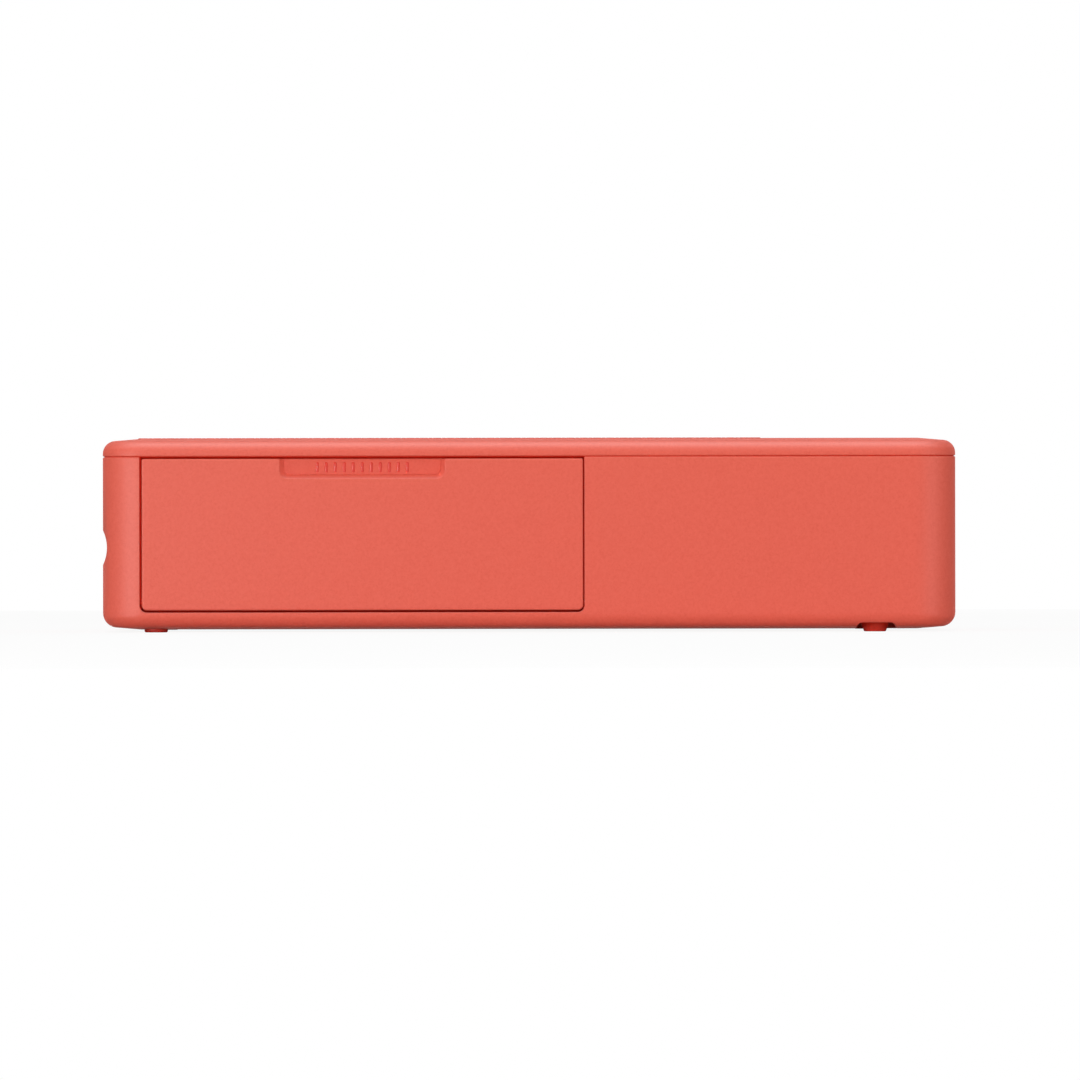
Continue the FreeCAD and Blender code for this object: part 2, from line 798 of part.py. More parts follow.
def recess_outline(x0, x1, z0, radius, y):
    """Outline of the recess, rounded below and flared where its walls meet the door's top edge."""
    flare = recess_mouth_radius
    turn = math.sqrt(2) / 2
    z1 = door_z1
    over = z1 + overrun
    low_left = Part.Arc(vec(x0, y, z0 + radius), vec(x0 + radius * (1 - turn), y, z0 + radius * (1 - turn)),
                        vec(x0 + radius, y, z0))
    low_right = Part.Arc(vec(x1 - radius, y, z0), vec(x1 - radius * (1 - turn), y, z0 + radius * (1 - turn)),
                         vec(x1, y, z0 + radius))
    high_right = Part.Arc(vec(x1, y, z1 - flare), vec(x1 + flare * (1 - turn), y, z1 - flare * (1 - turn)),
                          vec(x1 + flare, y, z1))
    high_left = Part.Arc(vec(x0 - flare, y, z1), vec(x0 - flare * (1 - turn), y, z1 - flare * (1 - turn)),
                         vec(x0, y, z1 - flare))
    edges = [
        high_left.toShape(),
        Part.makeLine(vec(x0, y, z1 - flare), vec(x0, y, z0 + radius)),
        low_left.toShape(),
        Part.makeLine(vec(x0 + radius, y, z0), vec(x1 - radius, y, z0)),
        low_right.toShape(),
        Part.makeLine(vec(x1, y, z0 + radius), vec(x1, y, z1 - flare)),
        high_right.toShape(),
        Part.makeLine(vec(x1 + flare, y, z1), vec(x1 + flare, y, over)),
        Part.makeLine(vec(x1 + flare, y, over), vec(x0 - flare, y, over)),
        Part.makeLine(vec(x0 - flare, y, over), vec(x0 - flare, y, z1))]
    return Part.Wire(edges)


def finger_recess():
    """Shallow tray in the door's top edge, its walls sloping in to a flat floor."""
    middle = (door_x0 + door_x1) / 2
    half = recess_length / 2
    low = door_z1 - recess_height
    outer = recess_outline(middle - half, middle + half, low, recess_radius, -half_depth)
    inner = recess_outline(middle - half + recess_slope, middle + half - recess_slope, low + recess_slope,
                           recess_radius - recess_slope / 2, recess_depth - half_depth)
    sloped = Part.makeLoft([outer, inner], True, True)
    mouth = Part.Face(outer).extrude(vec(0, -overrun, 0))
    return join([sloped, mouth])


def ink_door_pins():
    pins = [rod_x(door_pin_y, door_pin_z, door_pin_radius, door_x0 - door_gap_front - door_pin_reach,
                  door_x0 + door_pin_bury),
            rod_x(door_pin_y, door_pin_z, door_pin_radius, door_x1 - door_pin_bury,
                  door_x1 + door_gap_rear + door_pin_reach)]
    return Part.makeCompound(pins)


def front_foot(side):
    foot = rod_z(front_foot_x, side * front_foot_y, front_foot_radius, 0, body_bottom + front_foot_seat)
    return foot.makeFillet(front_foot_edge, edges_at(foot, 0))


def rear_foot(side):
    foot = Part.makeCone(rear_foot_tip_radius, rear_foot_radius, pocket_top,
                         vec(rear_foot_x, side * rear_foot_y, 0))
    return foot.makeFillet(rear_foot_edge, edges_at(foot, 0))


def case_screws():
    screws = []
    for x, y in corner_places():
        head_z = body_bottom + screw_head_recess
        head = rod_z(x, y, screw_head_radius, head_z, head_z + screw_head_height)
        shank = rod_z(x, y, screw_radius, head_z + screw_head_height,
                      floor_top + boss_height + screw_reach)
        slot = box(x - screw_head_radius, x + screw_head_radius, y - screw_head_recess / 2,
                   y + screw_head_recess / 2, head_z, head_z + screw_head_height / 2)
        screws.append(join([head, shank]).cut(slot))
    return Part.makeCompound(screws)


def power_button():
    cap = rod_z(button_x, button_y, button_radius, button_bottom, cover_top - button_recess)
    cap = cap.makeFillet(panel_edge_radius, edges_at(cap, cover_top - button_recess))
    flange_top = roof_bottom - panel_gap
    flange = rod_z(button_x, button_y, button_radius + button_flange,
                   flange_top - button_flange_height, flange_top)
    return join([cap, flange])


def status_lights():
    top = cover_top
    lights = [rod_z(button_x, y, light_radius, top - light_length, top) for y in light_places()]
    return Part.makeCompound(lights)


def button_board():
    x0, x1, y0, y1 = button_board_outline()
    board = box(x0, x1, y0, y1, button_board_top - board_thickness, button_board_top)
    half = switch_width / 2
    switch = box(button_x - half, button_x + half, button_y - half, button_y + half,
                 button_board_top, button_board_top + switch_height)
    return join([board, switch])


def cover_release():
    """Slider through the long side wall, with a flange that runs behind the wall."""
    pad = box(slider_x0, slider_x0 + slider_length, inner_depth - slide_clearance, half_depth,
              slider_z0, slider_z1)
    flange_y = inner_depth - slide_clearance
    over = slider_flange_overlap
    flange = box(slider_x0 - over, slider_x0 + slider_length + over, flange_y - slider_flange, flange_y,
                 slider_z0 - over, slider_z1 + over)
    ribs = [box(slider_x0 + i * slider_length / 8 - panel_gap, slider_x0 + i * slider_length / 8 + panel_gap,
                half_depth - panel_gap, half_depth + overrun, slider_z0 - overrun, slider_z1 + overrun)
            for i in range(2, 7)]
    finger_x = hook_x + hook_half_length + seat_gap
    finger = box(finger_x, finger_x + finger_width, panel_half, flange_y - slider_flange,
                 hook_z, hook_z + hook_thickness)
    return join([pad, flange, finger]).cut(ribs)


def paper_tray():
    """Open tray for the blank sheets, hung on the side plates by its flanges."""
    x0 = tray_front - tray_wall
    x1 = tray_front + sheet_length + tray_wall
    outer_half = tray_half + tray_wall
    z0 = tray_floor_top - tray_floor_thickness
    tray = box(x0, x1, -outer_half, outer_half, z0, tray_top)
    tray = tray.cut(box(tray_front, tray_front + sheet_length, -tray_half, tray_half,
                        tray_floor_top, tray_top + overrun))
    flange = box(x0, x1, outer_half, plate_outer + layer_gap / 2, plate_top, plate_top + tray_wall)
    lip = box(x1, turn_axle[0] - turn_radius + overrun, -tray_half, tray_half, z0, tray_floor_top)
    tray = join([tray, flange, mirrored(flange), lip])
    slot = box(tray_front + sheet_length - overrun, x1 + overrun, -tray_half, tray_half,
               tray_floor_top, tray_floor_top + overrun)
    chord = math.sqrt(pickup_radius ** 2 - (z0 - pickup_z) ** 2) + pickup_proud
    window = box(pickup_axle[0] - chord, pickup_axle[0] + chord, -pickup_half_width - window_clearance,
                 pickup_half_width + window_clearance, z0 - overrun, tray_floor_top + overrun)
    return tray.cut([slot, window])


def guide_plate():
    """Floor of the lower paper path, between the side plates, with windows for the rollers."""
    top = sheet_z - guide_drop
    low = top - guide_thickness
    plate = box(front_x + wall + seat_gap, turn_axle[0], -plate_inner, plate_inner, low, top)
    cuts = []
    for x, z, radius in ((exit_x, exit_z, exit_radius), (platen_x, platen_z, platen_radius),
                         (capstan_x, capstan_z, capstan_radius)):
        chord = math.sqrt(radius ** 2 - (low - z) ** 2) + window_clearance / 2
        cuts.append(box(x - chord, x + chord, -roller_half - window_clearance, roller_half + window_clearance,
                        low - overrun, top + overrun))
    cuts.append(box(sensor_x() - sensor_boss_radius - overrun, sensor_x() + sensor_boss_radius + 2 * overrun,
                    -sensor_half_width, sensor_half_width, low - overrun, top + overrun))
    plate = plate.cut(cuts)
    ears = []
    for side in (-1, 1):
        y = side * (sensor_half_width + guide_thickness / 2)
        ears.append(box(sensor_x() - sensor_boss_radius, sensor_x() + sensor_boss_radius,
                        y - guide_thickness / 2, y + guide_thickness / 2,
                        sensor_z() - sensor_boss_radius, top))
    plate = join([plate] + ears)
    bore = rod_y(sensor_x(), sensor_z(), sensor_thickness + shaft_clearance,
                 -roller_half / 2, roller_half / 2)
    return plate.cut(bore)


def sensor_x():
    return platen_x + sensor_offset


def sensor_z():
    return sheet_z - sensor_drop


def paper_sensor_lever():
    """Small lever that a passing sheet tips over."""
    half = sensor_half_width
    shaft = rod_y(sensor_x(), sensor_z(), sensor_thickness, -half - guide_thickness, half + guide_thickness)
    arm = box(sensor_x() - sensor_thickness / 2, sensor_x() + sensor_thickness / 2,
              sensor_thickness / 2 - half, half - sensor_thickness / 2,
              sensor_z(), sheet_z + sensor_reach / 2)
    return join([shaft, arm])


def side_plate_blank(low_y):
    return box(exit_x - roller_end_gap - thick_shaft_radius, turn_axle[0] + turn_radius + roller_end_gap,
               low_y, low_y + plate_thickness, floor_top, plate_top)


def shaft_holes(y0, y1):
    """Running holes for each shaft that turns in the plates, and snug ones for the fixed pivot."""
    turning = [(exit_x, exit_z, thin_shaft_radius), (exit_x, exit_idler_z, thin_shaft_radius),
               (platen_x, platen_z, thick_shaft_radius), (capstan_x, capstan_z, thick_shaft_radius),
               (capstan_x, pinch_z, thin_shaft_radius), (pickup_axle[0], pickup_z, thin_shaft_radius),
               (turn_axle[0], turn_z, thick_shaft_radius), (cam_x, cam_z, thin_shaft_radius)]
    holes = [rod_y(x, z, r + shaft_clearance, y0, y1) for x, z, r in turning]
    return holes + [rod_y(head_pivot_x, head_pivot_z, thin_shaft_radius, y0, y1)]


def side_plate_drive():
    """Plate that carries the motors and gears, with fixed studs for the idle gears."""
    plate = side_plate_blank(plate_inner)
    y0, y1 = plate_inner - overrun, plate_outer + overrun
    cuts = shaft_holes(y0, y1)
    cuts += [rod_y(x, z, motor_collar_radius, y0, y1) for x, z in (motor_axle, ribbon_motor_axle)]
    cuts += [rod_y(x, spool_z, hub_radius + shaft_clearance, y0, y1) for x in (supply_x, takeup_x)]
    plate = plate.cut(cuts)
    studs = [rod_y(axle[0], axle[1], thin_shaft_radius, plate_outer, end)
             for axle, end in ((reduction_axle, layer_b + layer_width + layer_space),
                               (transfer_axle, layer_b), (ribbon_idler_axle, layer_b))]
    return join([plate] + studs)


def side_plate_door():
    """Plate on the door side, with the window that the cassette passes through."""
    plate = side_plate_blank(-plate_outer)
    y0, y1 = -plate_outer - overrun, overrun - plate_inner
    cuts = shaft_holes(y0, y1)
    radius = chamber_radius + plate_window_gap
    cuts += [rod_y(x, spool_z, radius, y0, y1) for x in (supply_x, takeup_x)]
    frame_low = film_z - film_thickness / 2 - plate_window_gap
    cuts.append(box(supply_x - radius, takeup_x + radius, y0, y1, frame_low,
                    film_z + film_frame_height + plate_window_gap))
    return plate.cut(cuts)


def sleeve(x, z, radius, shaft, half):
    return tube_y(x, z, radius, shaft, -half, half)


def end_shaft(x, z, radius, y1):
    return rod_y(x, z, radius, -shaft_half, y1)


def platen_shaft():
    return end_shaft(platen_x, platen_z, thick_shaft_radius, shaft_half)


def capstan():
    """Steel roller that grips the sheet, stepped down for its bearings and its gear."""
    roller = rod_y(capstan_x, capstan_z, capstan_radius, -roller_half, roller_half)
    journal = end_shaft(capstan_x, capstan_z, thick_shaft_radius, plate_outer + layer_gap / 2)
    tail = rod_y(capstan_x, capstan_z, thin_shaft_radius, plate_outer, layer_b + layer_width)
    return join([roller, journal, tail])


def stepped_roller(x, z, radius):
    roller = rod_y(x, z, radius, -roller_half, roller_half)
    return join([roller, end_shaft(x, z, thin_shaft_radius, shaft_half)])


def turn_shaft():
    return end_shaft(turn_axle[0], turn_z, thick_shaft_radius, layer_a + layer_width)


def pickup_shaft():
    """Moulded shaft with its gear at the drive side."""
    wheel = gear(pickup_axle, pickup_teeth, pickup_phase, layer_a, layer_a + layer_width, thin_shaft_radius)
    return join([wheel, end_shaft(pickup_axle[0], pickup_z, thin_shaft_radius, layer_a + layer_width)])


def turn_guide():
    """Curved channel behind the turn roller, fixed between the side plates."""
    inner = turn_radius + turn_guide_gap
    outer = inner + turn_guide_thickness
    ring = tube_y(turn_axle[0], turn_z, outer, inner, -plate_inner, plate_inner)
    ring = ring.cut(box(turn_axle[0] - outer - overrun, turn_axle[0], -plate_outer, plate_outer,
                        turn_z - outer - overrun, turn_z + outer + overrun))
    entry = box(turn_axle[0] - turn_radius, turn_axle[0], -tray_half, tray_half,
                turn_z + inner, turn_z + outer)
    return join([ring, entry])


def reduction_gear():
    bore = thin_shaft_radius + shaft_clearance
    large = gear(reduction_axle, reduction_large_teeth, reduction_large_phase,
                 layer_a, layer_a + layer_width, bore)
    neck = tube_y(reduction_axle[0], reduction_axle[1], thin_shaft_radius + layer_gap, bore,
                  layer_a + layer_width, layer_b)
    small = gear(reduction_axle, reduction_small_teeth, reduction_small_phase,
                 layer_b, layer_b + layer_width, bore)
    return join([large, neck, small])


def motor_can(axle):
    """Round can motor fixed to the inner face of the drive plate, its shaft passing through a bore."""
    can = rod_y(axle[0], axle[1], motor_radius, plate_inner - motor_length, plate_inner)
    cap = rod_y(axle[0], axle[1], motor_collar_radius, plate_inner - motor_length - layer_gap,
                plate_inner - motor_length)
    bore = rod_y(axle[0], axle[1], motor_shaft_radius + shaft_clearance, plate_inner - dog_reach,
                 plate_inner + overrun)
    return join([can, cap]).cut(bore)


def pinion_on_shaft(axle, phase):
    wheel = gear(axle, pinion_teeth, phase, layer_a, layer_a + layer_width, motor_shaft_radius)
    shaft = rod_y(axle[0], axle[1], motor_shaft_radius, plate_inner - dog_reach + slide_clearance,
                  layer_a + layer_width)
    return join([wheel, shaft])


def lift_motor():
    """Flat motor held against the case wall, facing the cam gear."""
    y1 = inner_depth
    y0 = y1 - lift_motor_length
    can = rod_y(lift_axle[0], lift_axle[1], lift_motor_radius, y0, y1)
    bore = rod_y(lift_axle[0], lift_axle[1], motor_shaft_radius + shaft_clearance, y0 - overrun,
                 y0 + lift_motor_length / 2)
    return can.cut(bore)


def lift_pinion():
    y0 = inner_depth - lift_motor_length
    wheel = gear(lift_axle, pinion_teeth, lift_phase, layer_a, layer_a + layer_width, motor_shaft_radius)
    shaft = rod_y(lift_axle[0], lift_axle[1], motor_shaft_radius, layer_a,
                  y0 + lift_motor_length / 2 - slide_clearance)
    return join([wheel, shaft])


def takeup_hub():
    """Gear, journal in the plate and dog that turns the take-up spool."""
    wheel = gear(takeup_axle, takeup_teeth, takeup_phase, layer_a, layer_a + layer_width, dog_radius)
    return join([wheel, hub_core(takeup_x, layer_a + layer_width)])


def hub_core(x, y1):
    journal = rod_y(x, spool_z, hub_radius, plate_inner - layer_gap, plate_outer + layer_gap)
    core = rod_y(x, spool_z, dog_radius, plate_inner - cassette_end_gap - dog_reach, y1)
    return join([journal, core])


def supply_hub():
    brake = rod_y(supply_x, spool_z, hub_radius + thick_shaft_radius, layer_a, layer_a + layer_width / 2)
    return join([hub_core(supply_x, layer_a + layer_width / 2), brake])


def heat_sink():
    """Finned bar above the thermal head."""
    low = film_z + film_thickness / 2 + head_film_gap + head_strip_thickness
    half = sink_width / 2
    block = box(platen_x - half, platen_x + half, -roller_half, roller_half, low, low + sink_height)
    pitch = sink_width / sink_fins
    gap = pitch * (1 - sink_fin_share)
    first = platen_x - half + pitch - gap
    cuts = [box(first + i * pitch, first + i * pitch + gap, -half_depth, half_depth,
                low + sink_base, low + sink_height + overrun) for i in range(sink_fins - 1)]
    return block.cut(cuts)


def thermal_head():
    low = film_z + film_thickness / 2 + head_film_gap
    half = head_strip_width / 2
    return box(platen_x - half, platen_x + half, -roller_half, roller_half, low, low + head_strip_thickness)


def head_bracket():
    """Two arms that carry the heat sink, one beside each plate, from the pivot to the cam."""
    y1 = plate_inner - arm_plate_gap
    y0 = y1 - arm_thickness
    low = cam_z + cam_base_radius + follower_gap
    arm = box(cam_x - arm_overhang, head_pivot_x, y0, y1, low, low + arm_height)
    boss = rod_y(head_pivot_x, head_pivot_z, pivot_boss_radius, y0, y1)
    half = sink_width / 2
    web = box(platen_x - half, platen_x + half, roller_half, y1, low - web_drop, low)
    web = web.cut(box(platen_x - half - overrun, platen_x + half + overrun, roller_half - overrun, y0,
                      head_low() + sink_height, low + overrun))
    bracket = join([arm, boss, web]).cut(
        rod_y(head_pivot_x, head_pivot_z, thin_shaft_radius + shaft_clearance, y0 - overrun, y1 + overrun))
    return Part.makeCompound([bracket, mirrored(bracket)])


def head_low():
    return film_z + film_thickness / 2 + head_film_gap + head_strip_thickness


def head_pivot_shaft():
    return rod_y(head_pivot_x, head_pivot_z, thin_shaft_radius, -shaft_half, shaft_half)


def cam_outline_radius(degrees):
    """Cam radius at an angle past the follower: it climbs evenly, dwells and falls back."""
    if degrees <= cam_turn:
        return cam_base_radius + cam_rise * degrees / cam_turn
    fall = degrees - cam_turn - cam_return
    if fall <= 0:
        return cam_base_radius + cam_rise
    return cam_base_radius + cam_rise * max(0.0, 1 - fall / cam_return)


def cam_disc(y0, y1):
    steps = int(round(360 / cam_step))
    points = []
    for i in range(steps):
        degrees = i * cam_step
        radius = cam_outline_radius(degrees)
        angle = math.radians(90 + degrees)
        points.append(vec(cam_x + radius * math.cos(angle), y0, cam_z + radius * math.sin(angle)))
    return Part.Face(Part.makePolygon(points + points[:1])).extrude(vec(0, y1 - y0, 0))


def cam_shaft():
    y1 = plate_inner - arm_plate_gap
    disc = cam_disc(y1 - arm_thickness, y1)
    shaft = end_shaft(cam_x, cam_z, thin_shaft_radius, layer_a + layer_width)
    return join([shaft, disc, mirrored(disc)])


def cassette_half():
    return plate_inner - cassette_end_gap


def cassette_body():
    """Two slotted chambers joined by a film frame, with a grip plate at the door."""
    y1 = cassette_half()
    grip_y = grip_door_gap - half_depth + door_thickness
    y0 = grip_y + grip_thickness
    inner = chamber_radius - chamber_wall
    solids = []
    for x in (supply_x, takeup_x):
        shell = rod_y(x, spool_z, chamber_radius, y0, y1)
        shell = shell.cut(rod_y(x, spool_z, inner, -y1, y1 - chamber_wall))
        shell = shell.cut(rod_y(x, spool_z, hub_radius + slide_clearance, 0, y1 + overrun))
        half_slot = film_slot / 2
        shell = shell.cut(box(x - half_slot, x + half_slot, -roller_half, roller_half,
                              spool_z - chamber_radius - overrun, spool_z - inner / 2))
        solids.append(shell)
    x0 = supply_x + chamber_radius - chamber_wall - film_frame_width
    x1 = takeup_x - x0 + supply_x
    low = film_z - film_thickness / 2
    bar = box(x0, x1, roller_half + slide_clearance, y1, low, low + film_frame_height)
    inner_bar = box(x0, x1, y0, -roller_half - slide_clearance, low, low + film_frame_height)
    grip = box(supply_x - chamber_radius, takeup_x + chamber_radius, grip_y, y0, low, low + grip_rise)
    solids += [bar, inner_bar, grip]
    for x in (x0, x1 - film_frame_width):
        solids.append(box(x, x + film_frame_width, -y1, y1, low + film_thickness, low + film_frame_height))
    return join(solids)


def spool(x):
    """Plastic core of a ribbon roll, hollow at its drive end."""
    half = cassette_half() - chamber_wall - spool_end_gap
    core = rod_y(x, spool_z, spool_radius, -half, half)
    return core.cut(rod_y(x, spool_z, spool_bore, half - dog_reach - spool_end_gap, half + overrun))


def ribbon_roll(x, radius):
    half = roller_half - spool_end_gap
    return tube_y(x, spool_z, radius, spool_radius, -half, half)


def ribbon_film():
    half = roller_half - spool_end_gap
    x0 = supply_x + film_slot / 2
    return box(x0, takeup_x + supply_x - x0, -half, half,
               film_z - film_thickness / 2, film_z + film_thickness / 2)


def main_board():
    return box(board_x0, board_x1, -board_half, board_half, board_z, board_top)


def board_components():
    """Chips, a wireless module, connectors and capacitors on the main board."""
    length = board_x1 - board_x0
    chips = []
    # Each row: share along the board, share across it, share of its length, share of its width, height
    place_shares = [
        (0.10, 0.55, 0.20, 0.14, chip_height), (0.12, 0.20, 0.24, 0.16, chip_height),
        (0.45, 0.62, 0.14, 0.10, chip_height), (0.45, 0.30, 0.22, 0.12, 2 * chip_height),
        (0.70, 0.50, 0.10, 0.20, 2 * chip_height), (0.05, 0.85, 0.30, 0.06, 3 * chip_height),
        (0.72, 0.80, 0.08, 0.10, 3 * chip_height)]
    for along_share, across_share, length_share, width_share, height in place_shares:
        x0 = board_x0 + along_share * length
        y0 = (2 * across_share - 1) * board_half
        chips.append(box(x0, x0 + length_share * length, y0, y0 + 2 * width_share * board_half,
                         board_top, board_top + height))
    return Part.makeCompound(chips)


def power_inlet():
    """Shell of the power inlet with its tongue."""
    shell = inlet_block(inlet_x0, inlet_x1, 0)
    shell = shell.cut(inlet_block(inlet_x0 + inlet_shell, inlet_x1 + overrun, -inlet_shell))
    middle_z = board_top + inlet_height / 2
    half = inlet_width / 2 - inlet_height / 2
    tongue = box(inlet_x0, inlet_x1 - inlet_tongue, inlet_y - half, inlet_y + half,
                 middle_z - inlet_tongue / 2, middle_z + inlet_tongue / 2)
    return join([shell, tongue])


def battery_pack():
    pack = box(battery_x0, battery_x0 + battery_length, -battery_width / 2, battery_width / 2,
               floor_top, floor_top + battery_height)
    upright = [e for e in pack.Edges if e.BoundBox.YLength > battery_width / 2]
    return pack.makeFillet(battery_height / 4, upright)


os.makedirs("parts", exist_ok=True)
save("bottom_case", bottom_case())
save("top_cover", top_cover())
save("paper_cover", paper_cover())
save("paper_cover_pins", paper_cover_pins())
save("ink_door", ink_door())
save("ink_door_pins", ink_door_pins())
for side_name, side in (("door_side", -1), ("drive_side", 1)):
    save("front_foot_" + side_name, front_foot(side))
    save("rear_foot_" + side_name, rear_foot(side))
save("case_screws", case_screws())
save("power_button", power_button())
save("status_lights", status_lights())
save("button_board", button_board())
save("cover_release", cover_release())
save("paper_tray", paper_tray())
save("guide_plate", guide_plate())
save("side_plate_drive", side_plate_drive())
save("side_plate_door", side_plate_door())
save("platen_sleeve", sleeve(platen_x, platen_z, platen_radius, thick_shaft_radius, roller_half))
save("platen_shaft", platen_shaft())
save("capstan", capstan())
save("capstan_gear", gear(capstan_axle, capstan_teeth, capstan_phase, layer_b, layer_b + layer_width,
                          thin_shaft_radius))
save("pinch_roller", stepped_roller(capstan_x, pinch_z, pinch_radius))
save("exit_roller", stepped_roller(exit_x, exit_z, exit_radius))
save("exit_idler", stepped_roller(exit_x, exit_idler_z, exit_idler_radius))
save("turn_sleeve", sleeve(turn_axle[0], turn_z, turn_radius, thick_shaft_radius, roller_half))
save("turn_shaft", turn_shaft())
save("turn_gear", gear(turn_axle, turn_teeth, turn_phase, layer_a, layer_a + layer_width, thick_shaft_radius))
save("turn_guide", turn_guide())
save("pickup_sleeve", sleeve(pickup_axle[0], pickup_z, pickup_radius, thin_shaft_radius, pickup_half_width))
save("pickup_shaft", pickup_shaft())
save("transfer_gear", gear(transfer_axle, transfer_teeth, transfer_phase, layer_a, layer_a + layer_width,
                           thin_shaft_radius + shaft_clearance))
save("reduction_gear", reduction_gear())
save("main_motor", motor_can(motor_axle))
save("main_pinion", pinion_on_shaft(motor_axle, motor_phase))
save("ribbon_motor", motor_can(ribbon_motor_axle))
save("ribbon_pinion", pinion_on_shaft(ribbon_motor_axle, ribbon_phase))
save("ribbon_idler", gear(ribbon_idler_axle, ribbon_idler_teeth, ribbon_idler_phase, layer_a,
                          layer_a + layer_width, thin_shaft_radius + shaft_clearance))
save("takeup_hub", takeup_hub())
save("supply_hub", supply_hub())
save("heat_sink", heat_sink())
save("thermal_head", thermal_head())
save("head_bracket", head_bracket())
save("head_pivot_shaft", head_pivot_shaft())
save("cam_shaft", cam_shaft())
save("cam_gear", gear(cam_axle, cam_teeth, cam_phase, layer_a, layer_a + layer_width, thin_shaft_radius))
save("lift_motor", lift_motor())
save("lift_pinion", lift_pinion())
save("cassette_body", cassette_body())
save("supply_spool", spool(supply_x))
save("takeup_spool", spool(takeup_x))
save("supply_roll", ribbon_roll(supply_x, roll_radius))
save("takeup_roll", ribbon_roll(takeup_x, used_roll_radius))
save("ribbon_film", ribbon_film())
save("main_board", main_board())
save("board_components", board_components())
save("power_inlet", power_inlet())
save("battery_pack", battery_pack())
save("paper_sensor_lever", paper_sensor_lever())
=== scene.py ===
"""A compact photo printer with a side ink door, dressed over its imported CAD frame.

The moulded shells, the grooved paper cover and the pieces seen through the open covers get
smooth surfaces and procedural finishes. Every length is in metres, in the frame's own axes:
+X along the body, +Y away from the ink door, +Z up.
"""

import json
import logging
import math
from contextlib import contextmanager
from dataclasses import dataclass
from enum import Enum
from typing import Dict, Iterator, List, Optional, Sequence, Tuple, Union

import bmesh
import bpy
import numpy as np
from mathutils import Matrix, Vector

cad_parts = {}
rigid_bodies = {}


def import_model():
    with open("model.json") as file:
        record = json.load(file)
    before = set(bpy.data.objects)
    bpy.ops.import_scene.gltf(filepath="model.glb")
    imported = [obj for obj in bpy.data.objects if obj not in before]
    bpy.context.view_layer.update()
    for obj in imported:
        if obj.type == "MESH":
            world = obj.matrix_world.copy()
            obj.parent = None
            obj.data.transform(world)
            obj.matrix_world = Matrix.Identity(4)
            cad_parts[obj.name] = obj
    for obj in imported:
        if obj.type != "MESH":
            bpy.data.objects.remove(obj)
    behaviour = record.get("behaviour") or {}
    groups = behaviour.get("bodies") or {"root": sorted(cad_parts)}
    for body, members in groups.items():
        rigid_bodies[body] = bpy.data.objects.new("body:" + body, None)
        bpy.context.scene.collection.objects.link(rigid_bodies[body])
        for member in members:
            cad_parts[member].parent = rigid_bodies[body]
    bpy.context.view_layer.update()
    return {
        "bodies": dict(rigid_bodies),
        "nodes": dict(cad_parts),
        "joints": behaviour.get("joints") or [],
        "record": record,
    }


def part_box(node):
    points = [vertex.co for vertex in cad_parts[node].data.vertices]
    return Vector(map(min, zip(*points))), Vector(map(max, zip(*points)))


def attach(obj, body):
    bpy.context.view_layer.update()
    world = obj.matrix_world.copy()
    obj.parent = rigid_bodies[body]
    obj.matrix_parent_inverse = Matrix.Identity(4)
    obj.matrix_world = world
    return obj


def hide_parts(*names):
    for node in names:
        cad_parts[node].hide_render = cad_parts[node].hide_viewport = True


LOG = logging.getLogger("photo_printer")
MM = 0.001
SAME_POINT = 0.0001 * MM
QUARTER_TURN = math.pi / 2

# Sockets of a Mix node: its factor, its two numbers, its two colours, and what comes out.
FACTOR, NUMBER_A, NUMBER_B, COLOUR_A, COLOUR_B = 0, 2, 3, 6, 7
MIXED_NUMBER, MIXED_COLOUR = 0, 2

# Turn between two faces, in degrees, from which the edge between them stays sharp.
SHARP_HOOK, SHARP_CAD, SHARP_ROUNDED, SHARP_RIB = 30.0, 32.0, 40.0, 50.0

# Values of a noise between which mottling, and specks, go from none to their most.
MOTTLE_FROM, MOTTLE_TO = 0.35, 0.65
SPECKS_FROM, SPECKS_TO = 0.5, 0.72

# Points of a pad's upper edge, steps of its corner, and points along a band.
PAD_EDGE_POINTS, PAD_CORNER_STEPS, BAND_POINTS = 5, 6, 49
# Share of a pad's corner radius that its inset edge may use up.
PAD_CORNER_SHARE = 0.9

Point = Tuple[float, float, float]
Colour = Tuple[float, float, float, float]
Tree = bpy.types.NodeTree
Socket = bpy.types.NodeSocket
Inputs = Dict[Union[int, str], object]

WHITE: Colour = (1.0, 1.0, 1.0, 1.0)


def linear(hex_colour: str) -> Colour:
    """Turn an sRGB hex value into a linear colour.

    A channel c turns into c / 12.92 up to 0.04045, and into (c + 0.055) / 1.055 to the power
    2.4 above it.

    Args:
        hex_colour: Six hex digits after a leading mark.

    Returns:
        Red, green, blue and an alpha of 1.
    """
    parts = [int(hex_colour[i:i + 2], 16) / 255 for i in (1, 3, 5)]
    flat = [c / 12.92 if c <= 0.04045 else ((c + 0.055) / 1.055) ** 2.4 for c in parts]
    return flat[0], flat[1], flat[2], 1.0


def per_metre(size_mm: float) -> float:
    """Pattern scale whose feature is about the given size."""
    return 1 / (size_mm * MM)


def bare_tree(owner: bpy.types.ID) -> Tree:
    """Give a material or a world an empty node tree.

    Args:
        owner: The material or world.

    Returns:
        Its node tree.
    """
    owner.use_nodes = True
    owner.node_tree.nodes.clear()
    return owner.node_tree


